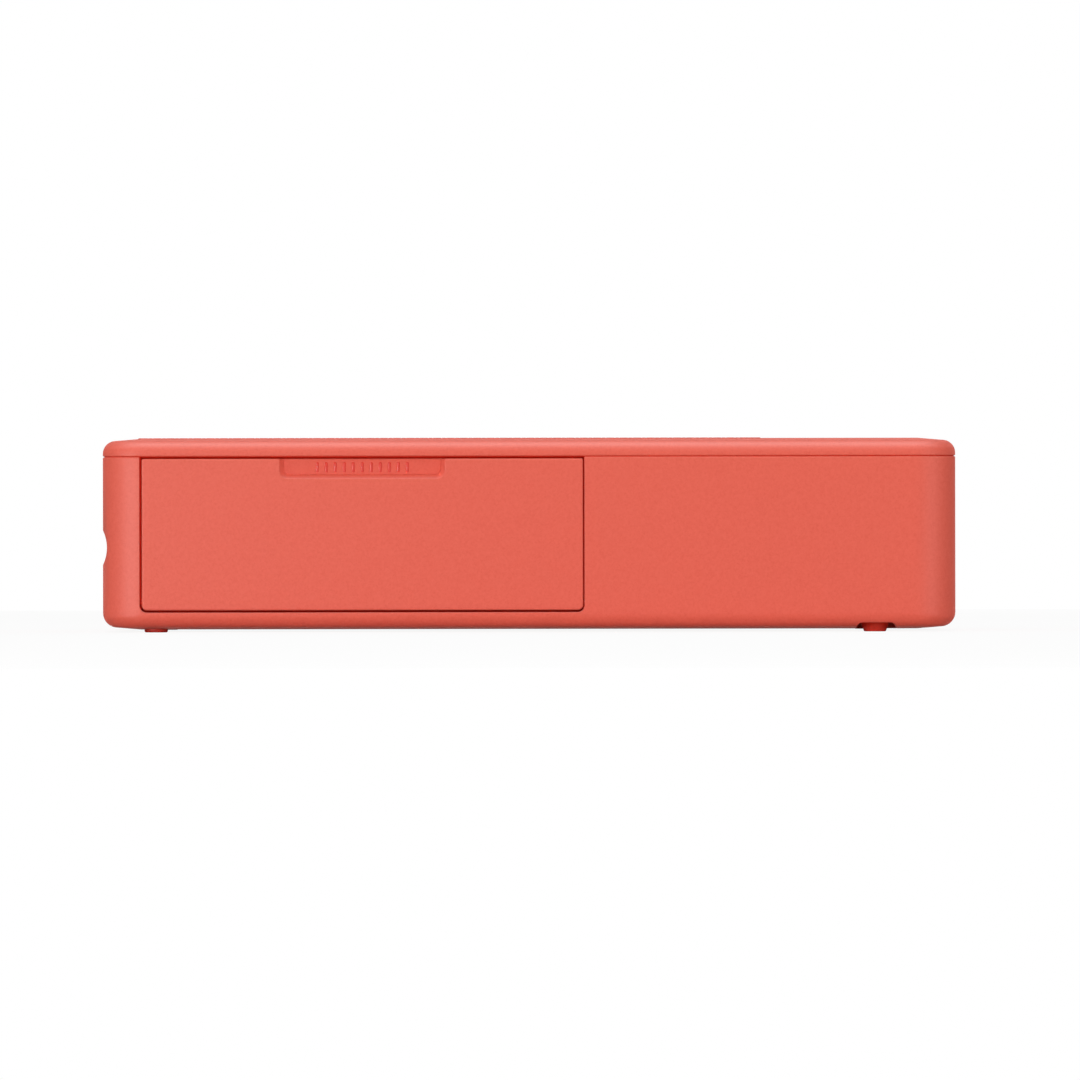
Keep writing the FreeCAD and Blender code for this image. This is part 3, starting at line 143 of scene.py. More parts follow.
def add(tree: Tree, kind: str, inputs: Optional[Inputs] = None,
        **settings: object) -> bpy.types.Node:
    """Add one shader node with its settings and links.

    Args:
        tree: The node tree.
        kind: The node's type name, without the ShaderNode that it starts with.
        inputs: Values, or other nodes' sockets to link, by the input's name or number.
        settings: The node's own attributes.

    Returns:
        The new node.
    """
    node = tree.nodes.new("ShaderNode" + kind)
    for name, value in settings.items():
        setattr(node, name, value)
    for key, value in (inputs or {}).items():
        if isinstance(value, Socket):
            tree.links.new(value, node.inputs[key])
        else:
            node.inputs[key].default_value = value
    return node


@dataclass(frozen=True)
class Finish:
    """A surface with a base colour, slight mottling and a fine bump.

    Attributes:
        name: What the real material is, and how its surface was made.
        colour: Base colour as sRGB hex.
        shade: Colour that the mottling leans to, as sRGB hex.
        roughness: Roughness of the surface.
        metallic: 1 for a bare metal.
        ior: Index of refraction, left at 1.5 on metals.
        gloss: Specular level, 0.5 for a clean surface and less for a dull, grained one.
        grain_mm: Size of the grain.
        relief_mm: Height of the grain.
        mottle_mm: Size of the mottling.
        mottle: How far the mottling leans to the shade.
        edge_mm: Radius that every edge is shaded round by, or 0.
    """

    name: str
    colour: str
    shade: str
    roughness: float = 0.5
    metallic: float = 0.0
    ior: float = 1.5
    gloss: float = 0.5
    grain_mm: float = 0.4
    relief_mm: float = 0.01
    mottle_mm: float = 0.6
    mottle: float = 0.3
    edge_mm: float = 0.0

    def pattern(self, tree: Tree, where: Socket) -> Socket:
        """Colour of the surface: soft mottling between the colour and its shade.

        Args:
            tree: The node tree.
            where: Object coordinates.

        Returns:
            The colour socket.
        """
        cloud = add(tree, "TexNoise", {"Vector": where, "Scale": per_metre(self.mottle_mm),
                                       "Detail": 3.0})
        amount = add(tree, "MapRange", {"Value": cloud.outputs["Fac"], "From Min": MOTTLE_FROM,
                                        "From Max": MOTTLE_TO, "To Max": self.mottle})
        return self.blended(tree, amount.outputs["Result"], linear(self.colour))

    def blended(self, tree: Tree, amount: Socket, base: Union[Socket, Colour]) -> Socket:
        """Blend a base colour towards the shade.

        Args:
            tree: The node tree.
            amount: How far, from 0 to 1.
            base: The base colour, or its socket.

        Returns:
            The colour socket.
        """
        mix = add(tree, "Mix", {FACTOR: amount, COLOUR_A: base, COLOUR_B: linear(self.shade)},
                  data_type="RGBA")
        return mix.outputs[MIXED_COLOUR]

    def relief(self, tree: Tree, where: Socket) -> Socket:
        """Height of the surface: one layer of fine grain.

        Args:
            tree: The node tree.
            where: Object coordinates.

        Returns:
            The height socket, from 0 to 1.
        """
        grain = add(tree, "TexNoise", {"Vector": where, "Scale": per_metre(self.grain_mm),
                                       "Detail": 2.0})
        return grain.outputs["Fac"]

    def build(self) -> bpy.types.Material:
        """Make the material.

        Returns:
            The new material.
        """
        material = bpy.data.materials.new(self.name)
        tree = bare_tree(material)
        where = add(tree, "TexCoord").outputs["Object"]
        bump = add(tree, "Bump", {"Height": self.relief(tree, where), "Strength": 1.0,
                                  "Distance": self.relief_mm * MM})
        if self.edge_mm:
            rounded = add(tree, "Bevel", {"Radius": self.edge_mm * MM}, samples=6)
            tree.links.new(rounded.outputs["Normal"], bump.inputs["Normal"])
        shader = add(tree, "BsdfPrincipled", {
            "Base Color": self.pattern(tree, where), "Normal": bump.outputs["Normal"],
            "Roughness": self.roughness, "Metallic": self.metallic, "IOR": self.ior,
            "Specular IOR Level": self.gloss})
        add(tree, "OutputMaterial", {"Surface": shader.outputs["BSDF"]})
        return material


@dataclass(frozen=True)
class SparkGrain(Finish):
    """Moulded ABS from a spark eroded tool: an even grain of two sizes, with fine specks.

    The real grain is finer than a pixel of the picture, so it is drawn as coarse as it needs
    to show: 0.16 mm for the fine one, 0.3 to 0.42 mm for the other.
    """

    edge_mm: float = 0.22
    fine_mm: float = 0.16
    fine_share: float = 0.4
    speck: float = 0.5

    def pattern(self, tree: Tree, where: Socket) -> Socket:
        """Soft mottling as on every finish, with specks of the shade over it.

        Args:
            tree: The node tree.
            where: Object coordinates.

        Returns:
            The colour socket.
        """
        base = super().pattern(tree, where)
        cloud = add(tree, "TexNoise", {"Vector": where, "Scale": per_metre(self.fine_mm * 2),
                                       "Detail": 2.0})
        amount = add(tree, "MapRange", {"Value": cloud.outputs["Fac"], "From Min": SPECKS_FROM,
                                        "From Max": SPECKS_TO, "To Max": self.speck})
        return self.blended(tree, amount.outputs["Result"], base)

    def relief(self, tree: Tree, where: Socket) -> Socket:
        """Coarse grain and a finer one, added in their shares.

        Args:
            tree: The node tree.
            where: Object coordinates.

        Returns:
            The height socket, from 0 to 1.
        """
        coarse, fine = [
            add(tree, "TexNoise", {"Vector": where, "Scale": per_metre(size), "Detail": 1.0})
            for size in (self.grain_mm, self.fine_mm)]
        mix = add(tree, "Mix", {FACTOR: self.fine_share, NUMBER_A: coarse.outputs["Fac"],
                                NUMBER_B: fine.outputs["Fac"]})
        return mix.outputs[MIXED_NUMBER]


@dataclass(frozen=True)
class DrawnMetal(Finish):
    """Metal with fine lines along one axis, from rolling, grinding or extrusion."""

    stretch: Point = (1.0, 0.04, 1.0)

    def relief(self, tree: Tree, where: Socket) -> Socket:
        """Grain drawn out along the metal's length.

        Args:
            tree: The node tree.
            where: Object coordinates.

        Returns:
            The height socket, from 0 to 1.
        """
        drawn = add(tree, "Mapping", {"Vector": where, "Scale": self.stretch})
        grain = add(tree, "TexNoise", {"Vector": drawn.outputs["Vector"], "Detail": 3.0,
                                       "Scale": per_metre(self.grain_mm)})
        return grain.outputs["Fac"]


@dataclass(frozen=True)
class SolderMask(Finish):
    """Green board with a lighter lattice of tracks under its lacquer."""

    track_mm: float = 1.3
    track_share: float = 0.22

    def pattern(self, tree: Tree, where: Socket) -> Socket:
        """Tracks as the thin walls of flattened cells, lighter than the mask.

        Args:
            tree: The node tree.
            where: Object coordinates.

        Returns:
            The colour socket.
        """
        cells = add(tree, "TexVoronoi", {"Vector": where, "Scale": per_metre(self.track_mm)},
                    feature="DISTANCE_TO_EDGE", distance="MANHATTAN")
        line = add(tree, "MapRange", {"Value": cells.outputs["Distance"], "To Min": 1.0,
                                      "From Max": self.track_share, "To Max": 0.0})
        return self.blended(tree, line.outputs["Result"], linear(self.colour))


@dataclass(frozen=True)
class DyePanels(Finish):
    """Ribbon film whose colour panels and clear one follow each other along X."""

    further: Tuple[str, ...] = ("#2E86A8", "#B9B4AC")
    panel_mm: float = 9.0

    def pattern(self, tree: Tree, where: Socket) -> Socket:
        """Steps between the panels: the colour, the shade and the further ones, repeated.

        Args:
            tree: The node tree.
            where: Object coordinates.

        Returns:
            The colour socket.
        """
        panels = (self.colour, self.shade) + self.further
        split = add(tree, "SeparateXYZ", {"Vector": where})
        length = self.panel_mm * MM * len(panels)
        scaled = add(tree, "Math", {0: split.outputs["X"], 1: length}, operation="DIVIDE")
        turn = add(tree, "Math", {0: scaled.outputs[0]}, operation="FRACT")
        ramp = add(tree, "ValToRGB", {"Fac": turn.outputs[0]})
        stops = ramp.color_ramp
        stops.interpolation = "CONSTANT"
        for i, colour in enumerate(panels):
            start = i / len(panels)
            stop = stops.elements[i] if i < 2 else stops.elements.new(start)
            stop.position = start
            stop.color = linear(colour)
        return ramp.outputs["Color"]


class Finishes(Enum):
    """The finishes that a piece of the printer can have, each with what it gives the eye."""

    # The shells: an even, dry grain with darker specks, and a broad soft sheen.
    CASE = SparkGrain("moulded ABS, coral red, fine spark grain", "#E66350", "#DC5543",
                      roughness=0.6, gloss=0.06, grain_mm=0.42, relief_mm=0.016)
    # The paper cover: duller and darker, so that it stands apart from the shell round it.
    PANEL = SparkGrain("moulded ABS, coral red, dull grooved face", "#DA5645", "#CE4C3C",
                       roughness=0.7, gloss=0.06, grain_mm=0.3, relief_mm=0.02)
    # Walls behind the gaps and the seam: a stronger red than the case, painted bounce light
    # standing in for the light that bounces in a gap.
    CASE_INSIDE_PAINTED_BOUNCE = SparkGrain("moulded ABS, coral red, inside face in painted bounce red", "#EA301E", "#E12A19",
                             roughness=0.6, gloss=0.06, relief_mm=0.006)
    # Hinge pins: deep red acetal, waxy with hardly a highlight; the red is made darker as painted
    # shade, so that a pin seen in the door's gap doesn't show lit.
    PIN = Finish("moulded acetal, deep red darkened as painted shade", "#C02A1C", "#B42417",
                 roughness=0.6, gloss=0.05, relief_mm=0.003)
    # The finger recess floor: darker than the door round it, painted shade for the shade under the
    # recess's edge.
    RECESS_PAINTED_SHADE = SparkGrain("moulded ABS, coral red, painted shade of the recess floor", "#E25C49", "#D94E3D",
                        roughness=0.6, gloss=0.06, grain_mm=0.42, relief_mm=0.012)
    # The bars in the recess: deeper red and a little shinier, so that they catch the light.
    MARK = SparkGrain("moulded ABS, deep red, polished mark", "#DA3F30", "#D13528",
                      roughness=0.55, gloss=0.1, relief_mm=0.004)
    # The feet: rubbery, dull and without a highlight.
    FOOT = Finish("moulded elastomer, coral red", "#E23B26", "#D8331F",
                  roughness=0.66, gloss=0.04, relief_mm=0.008)
    # Light guides: milky, with a soft highlight.
    LIGHT = Finish("frosted acrylic light pipe", "#F1EDE6", "#E6E1D8",
                   roughness=0.32, relief_mm=0.003)
    # Shafts, screws and motor cans: bright, with fine lines that draw the highlight out.
    STEEL = DrawnMetal("ground steel", "#B9BABC", "#A5A7AA",
                       roughness=0.28, metallic=1.0, relief_mm=0.003)
    # Side plates and brackets: cool grey metal, lined along its length by rolling.
    SHEET = DrawnMetal("zinc plated sheet steel", "#B2B5B8", "#A0A4A8", roughness=0.38,
                       metallic=1.0, relief_mm=0.004, stretch=(0.04, 1.0, 1.0))
    # Tray and cassette: charcoal with a dry grain.
    GREY = SparkGrain("moulded ABS, dark grey", "#3A3C40", "#34363A",
                      roughness=0.5, relief_mm=0.008)
    # Gears and spools: warm white, waxy and softly shiny.
    GEAR = Finish("moulded acetal, natural white", "#EAE7DD", "#E0DCD0",
                  roughness=0.42, relief_mm=0.004)
    # Rollers: black and dull, finely pitted by grinding.
    RUBBER = Finish("ground nitrile rubber", "#26272A", "#202124",
                    roughness=0.75, grain_mm=0.25, relief_mm=0.01)
    # The heat sink: pale metal with lines along its fins.
    ALUMINIUM = DrawnMetal("extruded aluminium", "#C9CCCF", "#BABDC1",
                           roughness=0.34, metallic=1.0, relief_mm=0.004)
    # The printing line: smooth and wet looking.
    CERAMIC = Finish("glazed alumina strip", "#E9E6DC", "#E1DDD0",
                     roughness=0.18, relief_mm=0.002)
    # Boards: shiny green lacquer over lighter tracks.
    BOARD = SolderMask("fibreglass board, green solder mask", "#1C6B43", "#2E8A58",
                       roughness=0.3, relief_mm=0.003)
    # Chips: near black and dry.
    CHIP = Finish("moulded epoxy, black", "#26282B", "#2D2F33",
                  roughness=0.55, relief_mm=0.006)
    # The film: shiny steps of yellow, magenta, cyan and a clear panel.
    RIBBON = DyePanels("dye ribbon, three colour panels", "#E2C63A", "#B0406E",
                       roughness=0.22, relief_mm=0.002)
    # The battery's sleeve: smooth silver grey, tight and shiny.
    WRAP = Finish("shrink wrap, silver grey", "#9A9CA3", "#8C8E96",
                  roughness=0.3, relief_mm=0.004)
    # Motor pinions: yellow metal with the marks of turning.
    BRASS = DrawnMetal("turned brass", "#C9A24F", "#B8923F",
                       roughness=0.3, metallic=1.0, relief_mm=0.003)
    # Pads: matted dark fibre; its tufts are drawn coarser than real ones, so that they show.
    FELT = Finish("needled felt, charcoal", "#3B3C40", "#2B2C30", roughness=0.95, gloss=0.1,
                  grain_mm=0.35, relief_mm=0.12, mottle_mm=0.5, mottle=0.7)
    # A bare label: warm white paper with a soft sheen.
    LABEL = Finish("coated paper label, bare", "#E8E4DA", "#DCD7CB",
                   roughness=0.45, grain_mm=0.3, relief_mm=0.004)
    # The plate underneath: smooth film, shinier than the case round it.
    PLATE = Finish("polyester film plate, bare", "#C9584C", "#C05044",
                   roughness=0.34, grain_mm=0.3, relief_mm=0.003)
    # The power sign: thin warm white ink.
    PRINT = Finish("pad print, warm white", "#F4E9E4", "#EADDD7",
                   roughness=0.4, grain_mm=0.2, relief_mm=0.002)


NODE_FINISHES: Dict[Finishes, Tuple[str, ...]] = {
    Finishes.CASE: ("bottom_case", "top_cover", "ink_door", "power_button", "cover_release"),
    Finishes.PANEL: ("paper_cover",),
    Finishes.PIN: ("paper_cover_pins", "ink_door_pins"),
    Finishes.FOOT: ("front_foot_door_side", "front_foot_drive_side", "rear_foot_door_side",
                    "rear_foot_drive_side"),
    Finishes.LIGHT: ("status_lights",),
    Finishes.STEEL: ("case_screws", "platen_shaft", "capstan", "turn_shaft", "head_pivot_shaft",
                     "main_motor", "ribbon_motor", "lift_motor", "power_inlet", "exit_roller"),
    Finishes.SHEET: ("side_plate_drive", "side_plate_door", "guide_plate", "head_bracket"),
    Finishes.GREY: ("paper_tray", "turn_guide", "cassette_body", "exit_idler",
                    "paper_sensor_lever"),
    Finishes.GEAR: ("capstan_gear", "turn_gear", "transfer_gear", "reduction_gear",
                    "ribbon_idler", "takeup_hub", "supply_hub", "cam_shaft", "cam_gear",
                    "supply_spool", "takeup_spool", "pickup_shaft"),
    Finishes.RUBBER: ("platen_sleeve", "turn_sleeve", "pickup_sleeve", "pinch_roller"),
    Finishes.ALUMINIUM: ("heat_sink",),
    Finishes.CERAMIC: ("thermal_head",),
    Finishes.BOARD: ("main_board", "button_board"),
    Finishes.CHIP: ("board_components",),
    Finishes.RIBBON: ("ribbon_film", "supply_roll", "takeup_roll"),
    Finishes.WRAP: ("battery_pack",),
    Finishes.BRASS: ("main_pinion", "ribbon_pinion", "lift_pinion"),
}

# The red shell and what is set in it: the reflector cards show in these alone.
SHELL_FINISHES: Tuple[Finishes, ...] = (Finishes.CASE, Finishes.PANEL, Finishes.RECESS_PAINTED_SHADE,
                                        Finishes.MARK, Finishes.FOOT)

# Moulded and turned nodes whose round stretches show.
SMOOTH_NODES: Tuple[str, ...] = (NODE_FINISHES[Finishes.CASE] + NODE_FINISHES[Finishes.FOOT]
                                 + ("case_screws", "status_lights"))


class Workshop:
    """Keeps the frame and the materials, and settles pieces on their bodies."""

    def __init__(self, frame: Dict[str, object]) -> None:
        """Make every material once.
        """
        record = frame["record"]
        self.nodes: Dict[str, bpy.types.Object] = frame["nodes"]
        self.bodies: Dict[str, List[str]] = record["behaviour"]["bodies"]
        self.slots: Dict[str, str] = {s["node"]: s["material_slot"] for s in record["subparts"]}
        self.materials = {kind: kind.value.build() for kind in Finishes}
        self.shell = bpy.data.collections.new("red_shell")

    def body_of(self, node: str) -> str:
        """Name of the body that a node is on."""
        return next(body for body, names in self.bodies.items() if node in names)

    def finish_nodes(self) -> None:
        """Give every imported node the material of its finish."""
        for kind, names in NODE_FINISHES.items():
            for name in names:
                self.paint(self.nodes[name], kind)

    def paint(self, thing: bpy.types.Object, kind: Finishes) -> None:
        """Give an object one material in place of what it has."""
        thing.data.materials.clear()
        thing.data.materials.append(self.materials[kind])

    def settle(self, piece: bpy.types.Object, kind: Finishes, body: str, node: str,
               instead: bool = False) -> None:
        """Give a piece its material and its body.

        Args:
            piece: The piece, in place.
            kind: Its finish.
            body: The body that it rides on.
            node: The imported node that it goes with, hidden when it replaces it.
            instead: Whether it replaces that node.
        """
        self.paint(piece, kind)
        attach(piece, body)
        if instead:
            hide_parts(node)
        if kind in SHELL_FINISHES:
            self.shell.objects.link(piece)
        LOG.info("%s: %d vertices, %s", piece.name, len(piece.data.vertices), kind.value.name)


def in_scene(name: str, data: bpy.types.ID) -> bpy.types.Object:
    """Make an object and link it into the scene.

    Args:
        name: The object's name.
        data: Its mesh, lamp or camera.

    Returns:
        The object.
    """
    thing = bpy.data.objects.new(name, data)
    bpy.context.scene.collection.objects.link(thing)
    return thing


def new_piece(name: str, points: np.ndarray, faces: List[Sequence[int]]) -> bpy.types.Object:
    """Make an object of points and faces.

    Args:
        name: The object's name.
        points: One row of x, y, z for each vertex.
        faces: Vertex numbers of each face.

    Returns:
        The object, linked into the scene.
    """
    mesh = bpy.data.meshes.new(name)
    mesh.from_pydata(points.tolist(), [], faces)
    mesh.validate()
    mesh.update()
    return in_scene(name, mesh)


@contextmanager
def edited(mesh: bpy.types.Mesh) -> Iterator[bmesh.types.BMesh]:
    """Open a mesh for editing, and write it back at the end.

    Args:
        mesh: The mesh.

    Yields:
        Its editable form.
    """
    work = bmesh.new()
    work.from_mesh(mesh)
    yield work
    work.to_mesh(mesh)
    work.free()


def shade_by_angle(piece: bpy.types.Object, degrees: float) -> None:
    """Shade a merged mesh smooth, apart from the edges where it turns sharply.

    Args:
        piece: The piece.
        degrees: Turn between two faces from which the edge between them stays sharp.
    """
    limit = math.radians(degrees)
    with edited(piece.data) as work:
        for face in work.faces:
            face.smooth = True
        for edge in work.edges:
            edge.smooth = len(edge.link_faces) == 2 and edge.calc_face_angle(0.0) < limit
    weighted = piece.modifiers.new("weighted normals", "WEIGHTED_NORMAL")
    weighted.keep_sharp = True
    weighted.weight = 90


def closed_piece(name: str, points: np.ndarray, faces: List[Sequence[int]],
                 sharp: float = 0.0) -> bpy.types.Object:
    """Make a closed piece, its doubles merged and every face turned outwards.

    Args:
        name: The object's name.
        points: One row of x, y, z for each vertex.
        faces: Vertex numbers of each face.
        sharp: Degrees from which an edge stays sharp, or 0 for a flat-faced piece.

    Returns:
        The piece.
    """
    piece = new_piece(name, points, faces)
    with edited(piece.data) as work:
        bmesh.ops.remove_doubles(work, verts=work.verts, dist=SAME_POINT)
        bmesh.ops.recalc_face_normals(work, faces=work.faces)
    if sharp:
        shade_by_angle(piece, sharp)
    return piece


def loft_faces(rings: int, around: int, capped: bool = True) -> List[Sequence[int]]:
    """Faces between closed rings of points, in order.

    Args:
        rings: How many rings.
        around: Points in each ring.
        capped: Whether both end rings get a cap, and aren't joined to each other.

    Returns:
        The faces, as vertex numbers.
    """
    spans = np.arange(rings - 1 if capped else rings)
    i, j = np.meshgrid(spans, np.arange(around), indexing="ij")
    k, following = (j + 1) % around, (i + 1) % rings
    quads = np.stack([i * around + j, i * around + k, following * around + k,
                      following * around + j], -1)
    faces: List[Sequence[int]] = quads.reshape(-1, 4).tolist()
    if capped:
        faces.append(list(range(around))[::-1])
        faces.append(list(range((rings - 1) * around, rings * around)))
    return faces


def lofted(name: str, rings: Sequence[np.ndarray], sharp: float = 0.0,
           capped: bool = True) -> bpy.types.Object:
    """Skin closed rings of points, in order.

    Args:
        name: The object's name.
        rings: The rings, each with one row of x, y, z for each point.
        sharp: Degrees from which an edge stays sharp, or 0 for a flat-faced piece.
        capped: Whether both end rings get a cap, and aren't joined to each other.

    Returns:
        The closed piece.
    """
    faces = loft_faces(len(rings), len(rings[0]), capped)
    return closed_piece(name, np.concatenate(rings), faces, sharp)


def extruded(name: str, outline: np.ndarray, axis: str, low: float, high: float,
             sharp: float = 0.0) -> bpy.types.Object:
    """Carry a flat outline along one axis.

    Args:
        name: The object's name.
        outline: Points of the section: (y, z) along X, (x, z) along Y, (x, y) along Z.
        axis: The axis to follow.
        low: Where the piece starts.
        high: Where it ends.
        sharp: Degrees from which an edge stays sharp, or 0 for a flat-faced piece.

    Returns:
        The closed piece.
    """
    column = "XYZ".index(axis)
    return lofted(name, [np.insert(outline, column, place, axis=1) for place in (low, high)],
                  sharp)


def rectangle(x0: float, x1: float, y0: float, y1: float) -> np.ndarray:
    """The four corners of a rectangle, one row for each, in order round it."""
    return np.array([(x0, y0), (x1, y0), (x1, y1), (x0, y1)])


def rounded_outline(x0: float, x1: float, y0: float, y1: float, radius: float,
                    steps: int) -> np.ndarray:
    """Points of a rounded rectangle, anticlockwise.

    Each corner is centre + radius times (cos a, sin a), a over its own quarter turn.

    Args:
        x0: Its low side along the first direction.
        x1: Its high side.
        y0: Its low side along the second direction.
        y1: Its high side.
        radius: Corner radius.
        steps: Steps of each corner.

    Returns:
        One row of x, y for each point.
    """
    corners = rectangle(x0 + radius, x1 - radius, y0 + radius, y1 - radius)[[2, 3, 0, 1]]
    turns = np.arange(4)[:, None] * 0.5 + np.linspace(0, 0.5, steps + 1)
    a = turns * math.pi
    arcs = corners[:, None] + radius * np.stack([np.cos(a), np.sin(a)], -1)
    return arcs.reshape(-1, 2)


def drawn_in(radius: float, depth: np.ndarray) -> np.ndarray:
    """Inset of a rounding at depth d from its end: r - sqrt(r squared - (r - d) squared)."""
    reach = np.maximum(radius - depth, 0)
    return radius - np.sqrt(np.maximum(radius ** 2 - reach ** 2, 0))


@dataclass(frozen=True)
class Face:
    """A flat face that small moulded forms stand on: its origin and its three directions.

    A point (u, v, h) of the face is origin + u times along + v times across + h times up.
    """

    origin: Point
    along: Point
    across: Point
    up: Point

    def place(self, points: np.ndarray) -> np.ndarray:
        """Turn rows of u, v, h into rows of x, y, z."""
        return np.array(self.origin) + points @ np.array([self.along, self.across, self.up])


@dataclass(frozen=True)
class RibForm:
    """The form that all stiffening and grip ribs share, whatever their size.

    Attributes:
        arc_points: Points across the section's arc.
        fullness: Power of the arc's height, below 1 for a full section.
        stations: Places along a rib, from -1 to 1.
        end_power: Power by which the section narrows towards the ends.
        tip: Share of the section that is left at the ends.
        sunk: How far the foot reaches into the face.
    """

    arc_points: int = 9
    fullness: float = 0.8
    stations: Tuple[float, ...] = (-1.0, -0.985, -0.95, -0.85, 0.0, 0.85, 0.95, 0.985, 1.0)
    end_power: int = 8
    tip: float = 0.3
    sunk: float = 0.1 * MM


def ribs(name: str, face: Face, centres: Sequence[Sequence[float]],
         lengths: Union[float, Sequence[float]], width: float, height: float,
         across: bool = False) -> bpy.types.Object:
    """Rounded ribs on a face, all in one mesh.

    The section is (-cos a, sin a to the power of the form's fullness), a over half a turn, on a
    short foot. Along the rib it swells by the square root of 1 - |s| to the end power, s from
    -1 to 1, and by the tip's share at least, so that the rib ends in rounded tips.

    Args:
        name: The object's name.
        face: The face.
        centres: The u and v of each rib's middle.
        lengths: The length of each rib, or of all.
        width: Width of every rib.
        height: Height over the face.
        across: Whether the ribs run along v and not along u.

    Returns:
        The closed piece.
    """
    form = RibForm()
    middles = np.array(centres)
    spans = np.broadcast_to(lengths, len(middles))
    arc = np.linspace(0, math.pi, form.arc_points)
    side = np.concatenate([-np.cos(arc), [1.0, -1.0]]) * width / 2
    rise = np.concatenate([np.sin(arc) ** form.fullness * height, [-form.sunk, -form.sunk]])
    s = np.array(form.stations)
    swell = np.maximum(np.sqrt(1 - np.abs(s) ** form.end_power), form.tip)
    every = np.ones((len(spans), 1, 1))
    run = spans[:, None, None] / 2 * s[None, :, None] * np.ones(len(side))
    wide = side * swell[:, None] * every
    high = np.where(rise > 0, rise * swell[:, None], rise) * every
    u, v = (wide, run) if across else (run, wide)
    points = np.stack([middles[:, 0, None, None] + u, middles[:, 1, None, None] + v, high], -1)
    per_rib = len(s) * len(side)
    one = loft_faces(len(s), len(side))
    faces = [[i + rib * per_rib for i in f] for rib in range(len(spans)) for f in one]
    return closed_piece(name, face.place(points.reshape(-1, 3)), faces, SHARP_RIB)


def pad(name: str, face: Face, centre: Tuple[float, float], size: Tuple[float, float],
        corner: float, height: float, edge: float, sunk: float = 0.05 * MM) -> bpy.types.Object:
    """A flat pad with rounded corners and a rounded upper edge.

    Near its top the outline draws in by edge times (1 - cos a) while it rises by edge times
    sin a, a over a quarter turn.

    Args:
        name: The object's name.
        face: The face.
        centre: Middle of the pad as u, v.
        size: Its length along u and v.
        corner: Corner radius.
        height: Height over the face.
        edge: Radius of the upper edge.
        sunk: How far it reaches into the face.

    Returns:
        The closed piece.
    """
    turn = np.linspace(0, QUARTER_TURN, PAD_EDGE_POINTS)
    insets = np.concatenate([[0.0], edge * (1 - np.cos(turn))])
    levels = np.concatenate([[-sunk], height - edge + edge * np.sin(turn)])
    (u, v), half_u, half_v = centre, size[0] / 2, size[1] / 2
    rings = []
    for inset, level in zip(insets, levels):
        outline = rounded_outline(
            u - half_u + inset, u + half_u - inset, v - half_v + inset, v + half_v - inset,
            corner - min(inset, corner * PAD_CORNER_SHARE), PAD_CORNER_STEPS)
        rings.append(face.place(np.insert(outline, 2, level, axis=1)))
    return lofted(name, rings, SHARP_ROUNDED)


def arc_band(name: str, face: Face, centre: Tuple[float, float], radius: float, width: float,
             gap_degrees: float, height: float) -> bpy.types.Object:
    """A flat band along a circle that is open at one place.

    Its middle line is centre + radius times (cos a, sin a), a from the gap's one side round
    to the other, and its section is a low bar with bevelled upper edges.

    Args:
        name: The object's name.
        face: The face.
        centre: Middle of the circle as u, v.
        radius: Radius of the middle line.
        width: Width of the band.
        gap_degrees: Angle that stays open, about the direction of v.
        height: Height over the face.

    Returns:
        The closed piece.
    """
    half_gap = math.radians(gap_degrees) / 2
    a = np.linspace(QUARTER_TURN + half_gap, 5 * QUARTER_TURN - half_gap, BAND_POINTS)[:, None]
    reach = radius + np.array([-0.5, -0.42, 0.42, 0.5, 0.5, -0.5]) * width
    up = np.array([0.4, 1.0, 1.0, 0.4, -0.5, -0.5]) * height
    points = np.stack([centre[0] + reach * np.cos(a), centre[1] + reach * np.sin(a),
                       np.broadcast_to(up, (len(a), len(up)))], -1)
    return lofted(name, face.place(points), SHARP_ROUNDED)


@dataclass
class Assembly:
    """A sub-assembly of the printer, which makes its pieces and settles them."""

    shop: Workshop

    def build(self) -> None:
        """Make the pieces."""
        raise NotImplementedError


@dataclass
class SmoothCopies(Assembly):
    """Copies of moulded and turned nodes, merged, with their round stretches shaded smooth."""

    merge: float = 0.002 * MM

    def build(self) -> None:
        """Replace each of the nodes by its smooth copy."""
        kinds = {name: kind for kind, nodes in NODE_FINISHES.items() for name in nodes}
        for name in SMOOTH_NODES:
            mesh = self.shop.nodes[name].data.copy()
            mesh.name = f"{name}_surface"
            piece = in_scene(f"{name}_surface", mesh)
            with edited(mesh) as work:
                bmesh.ops.remove_doubles(work, verts=work.verts, dist=self.merge)
            shade_by_angle(piece, SHARP_CAD)
            self.shop.settle(piece, kinds[name], self.shop.body_of(name), name, instead=True)


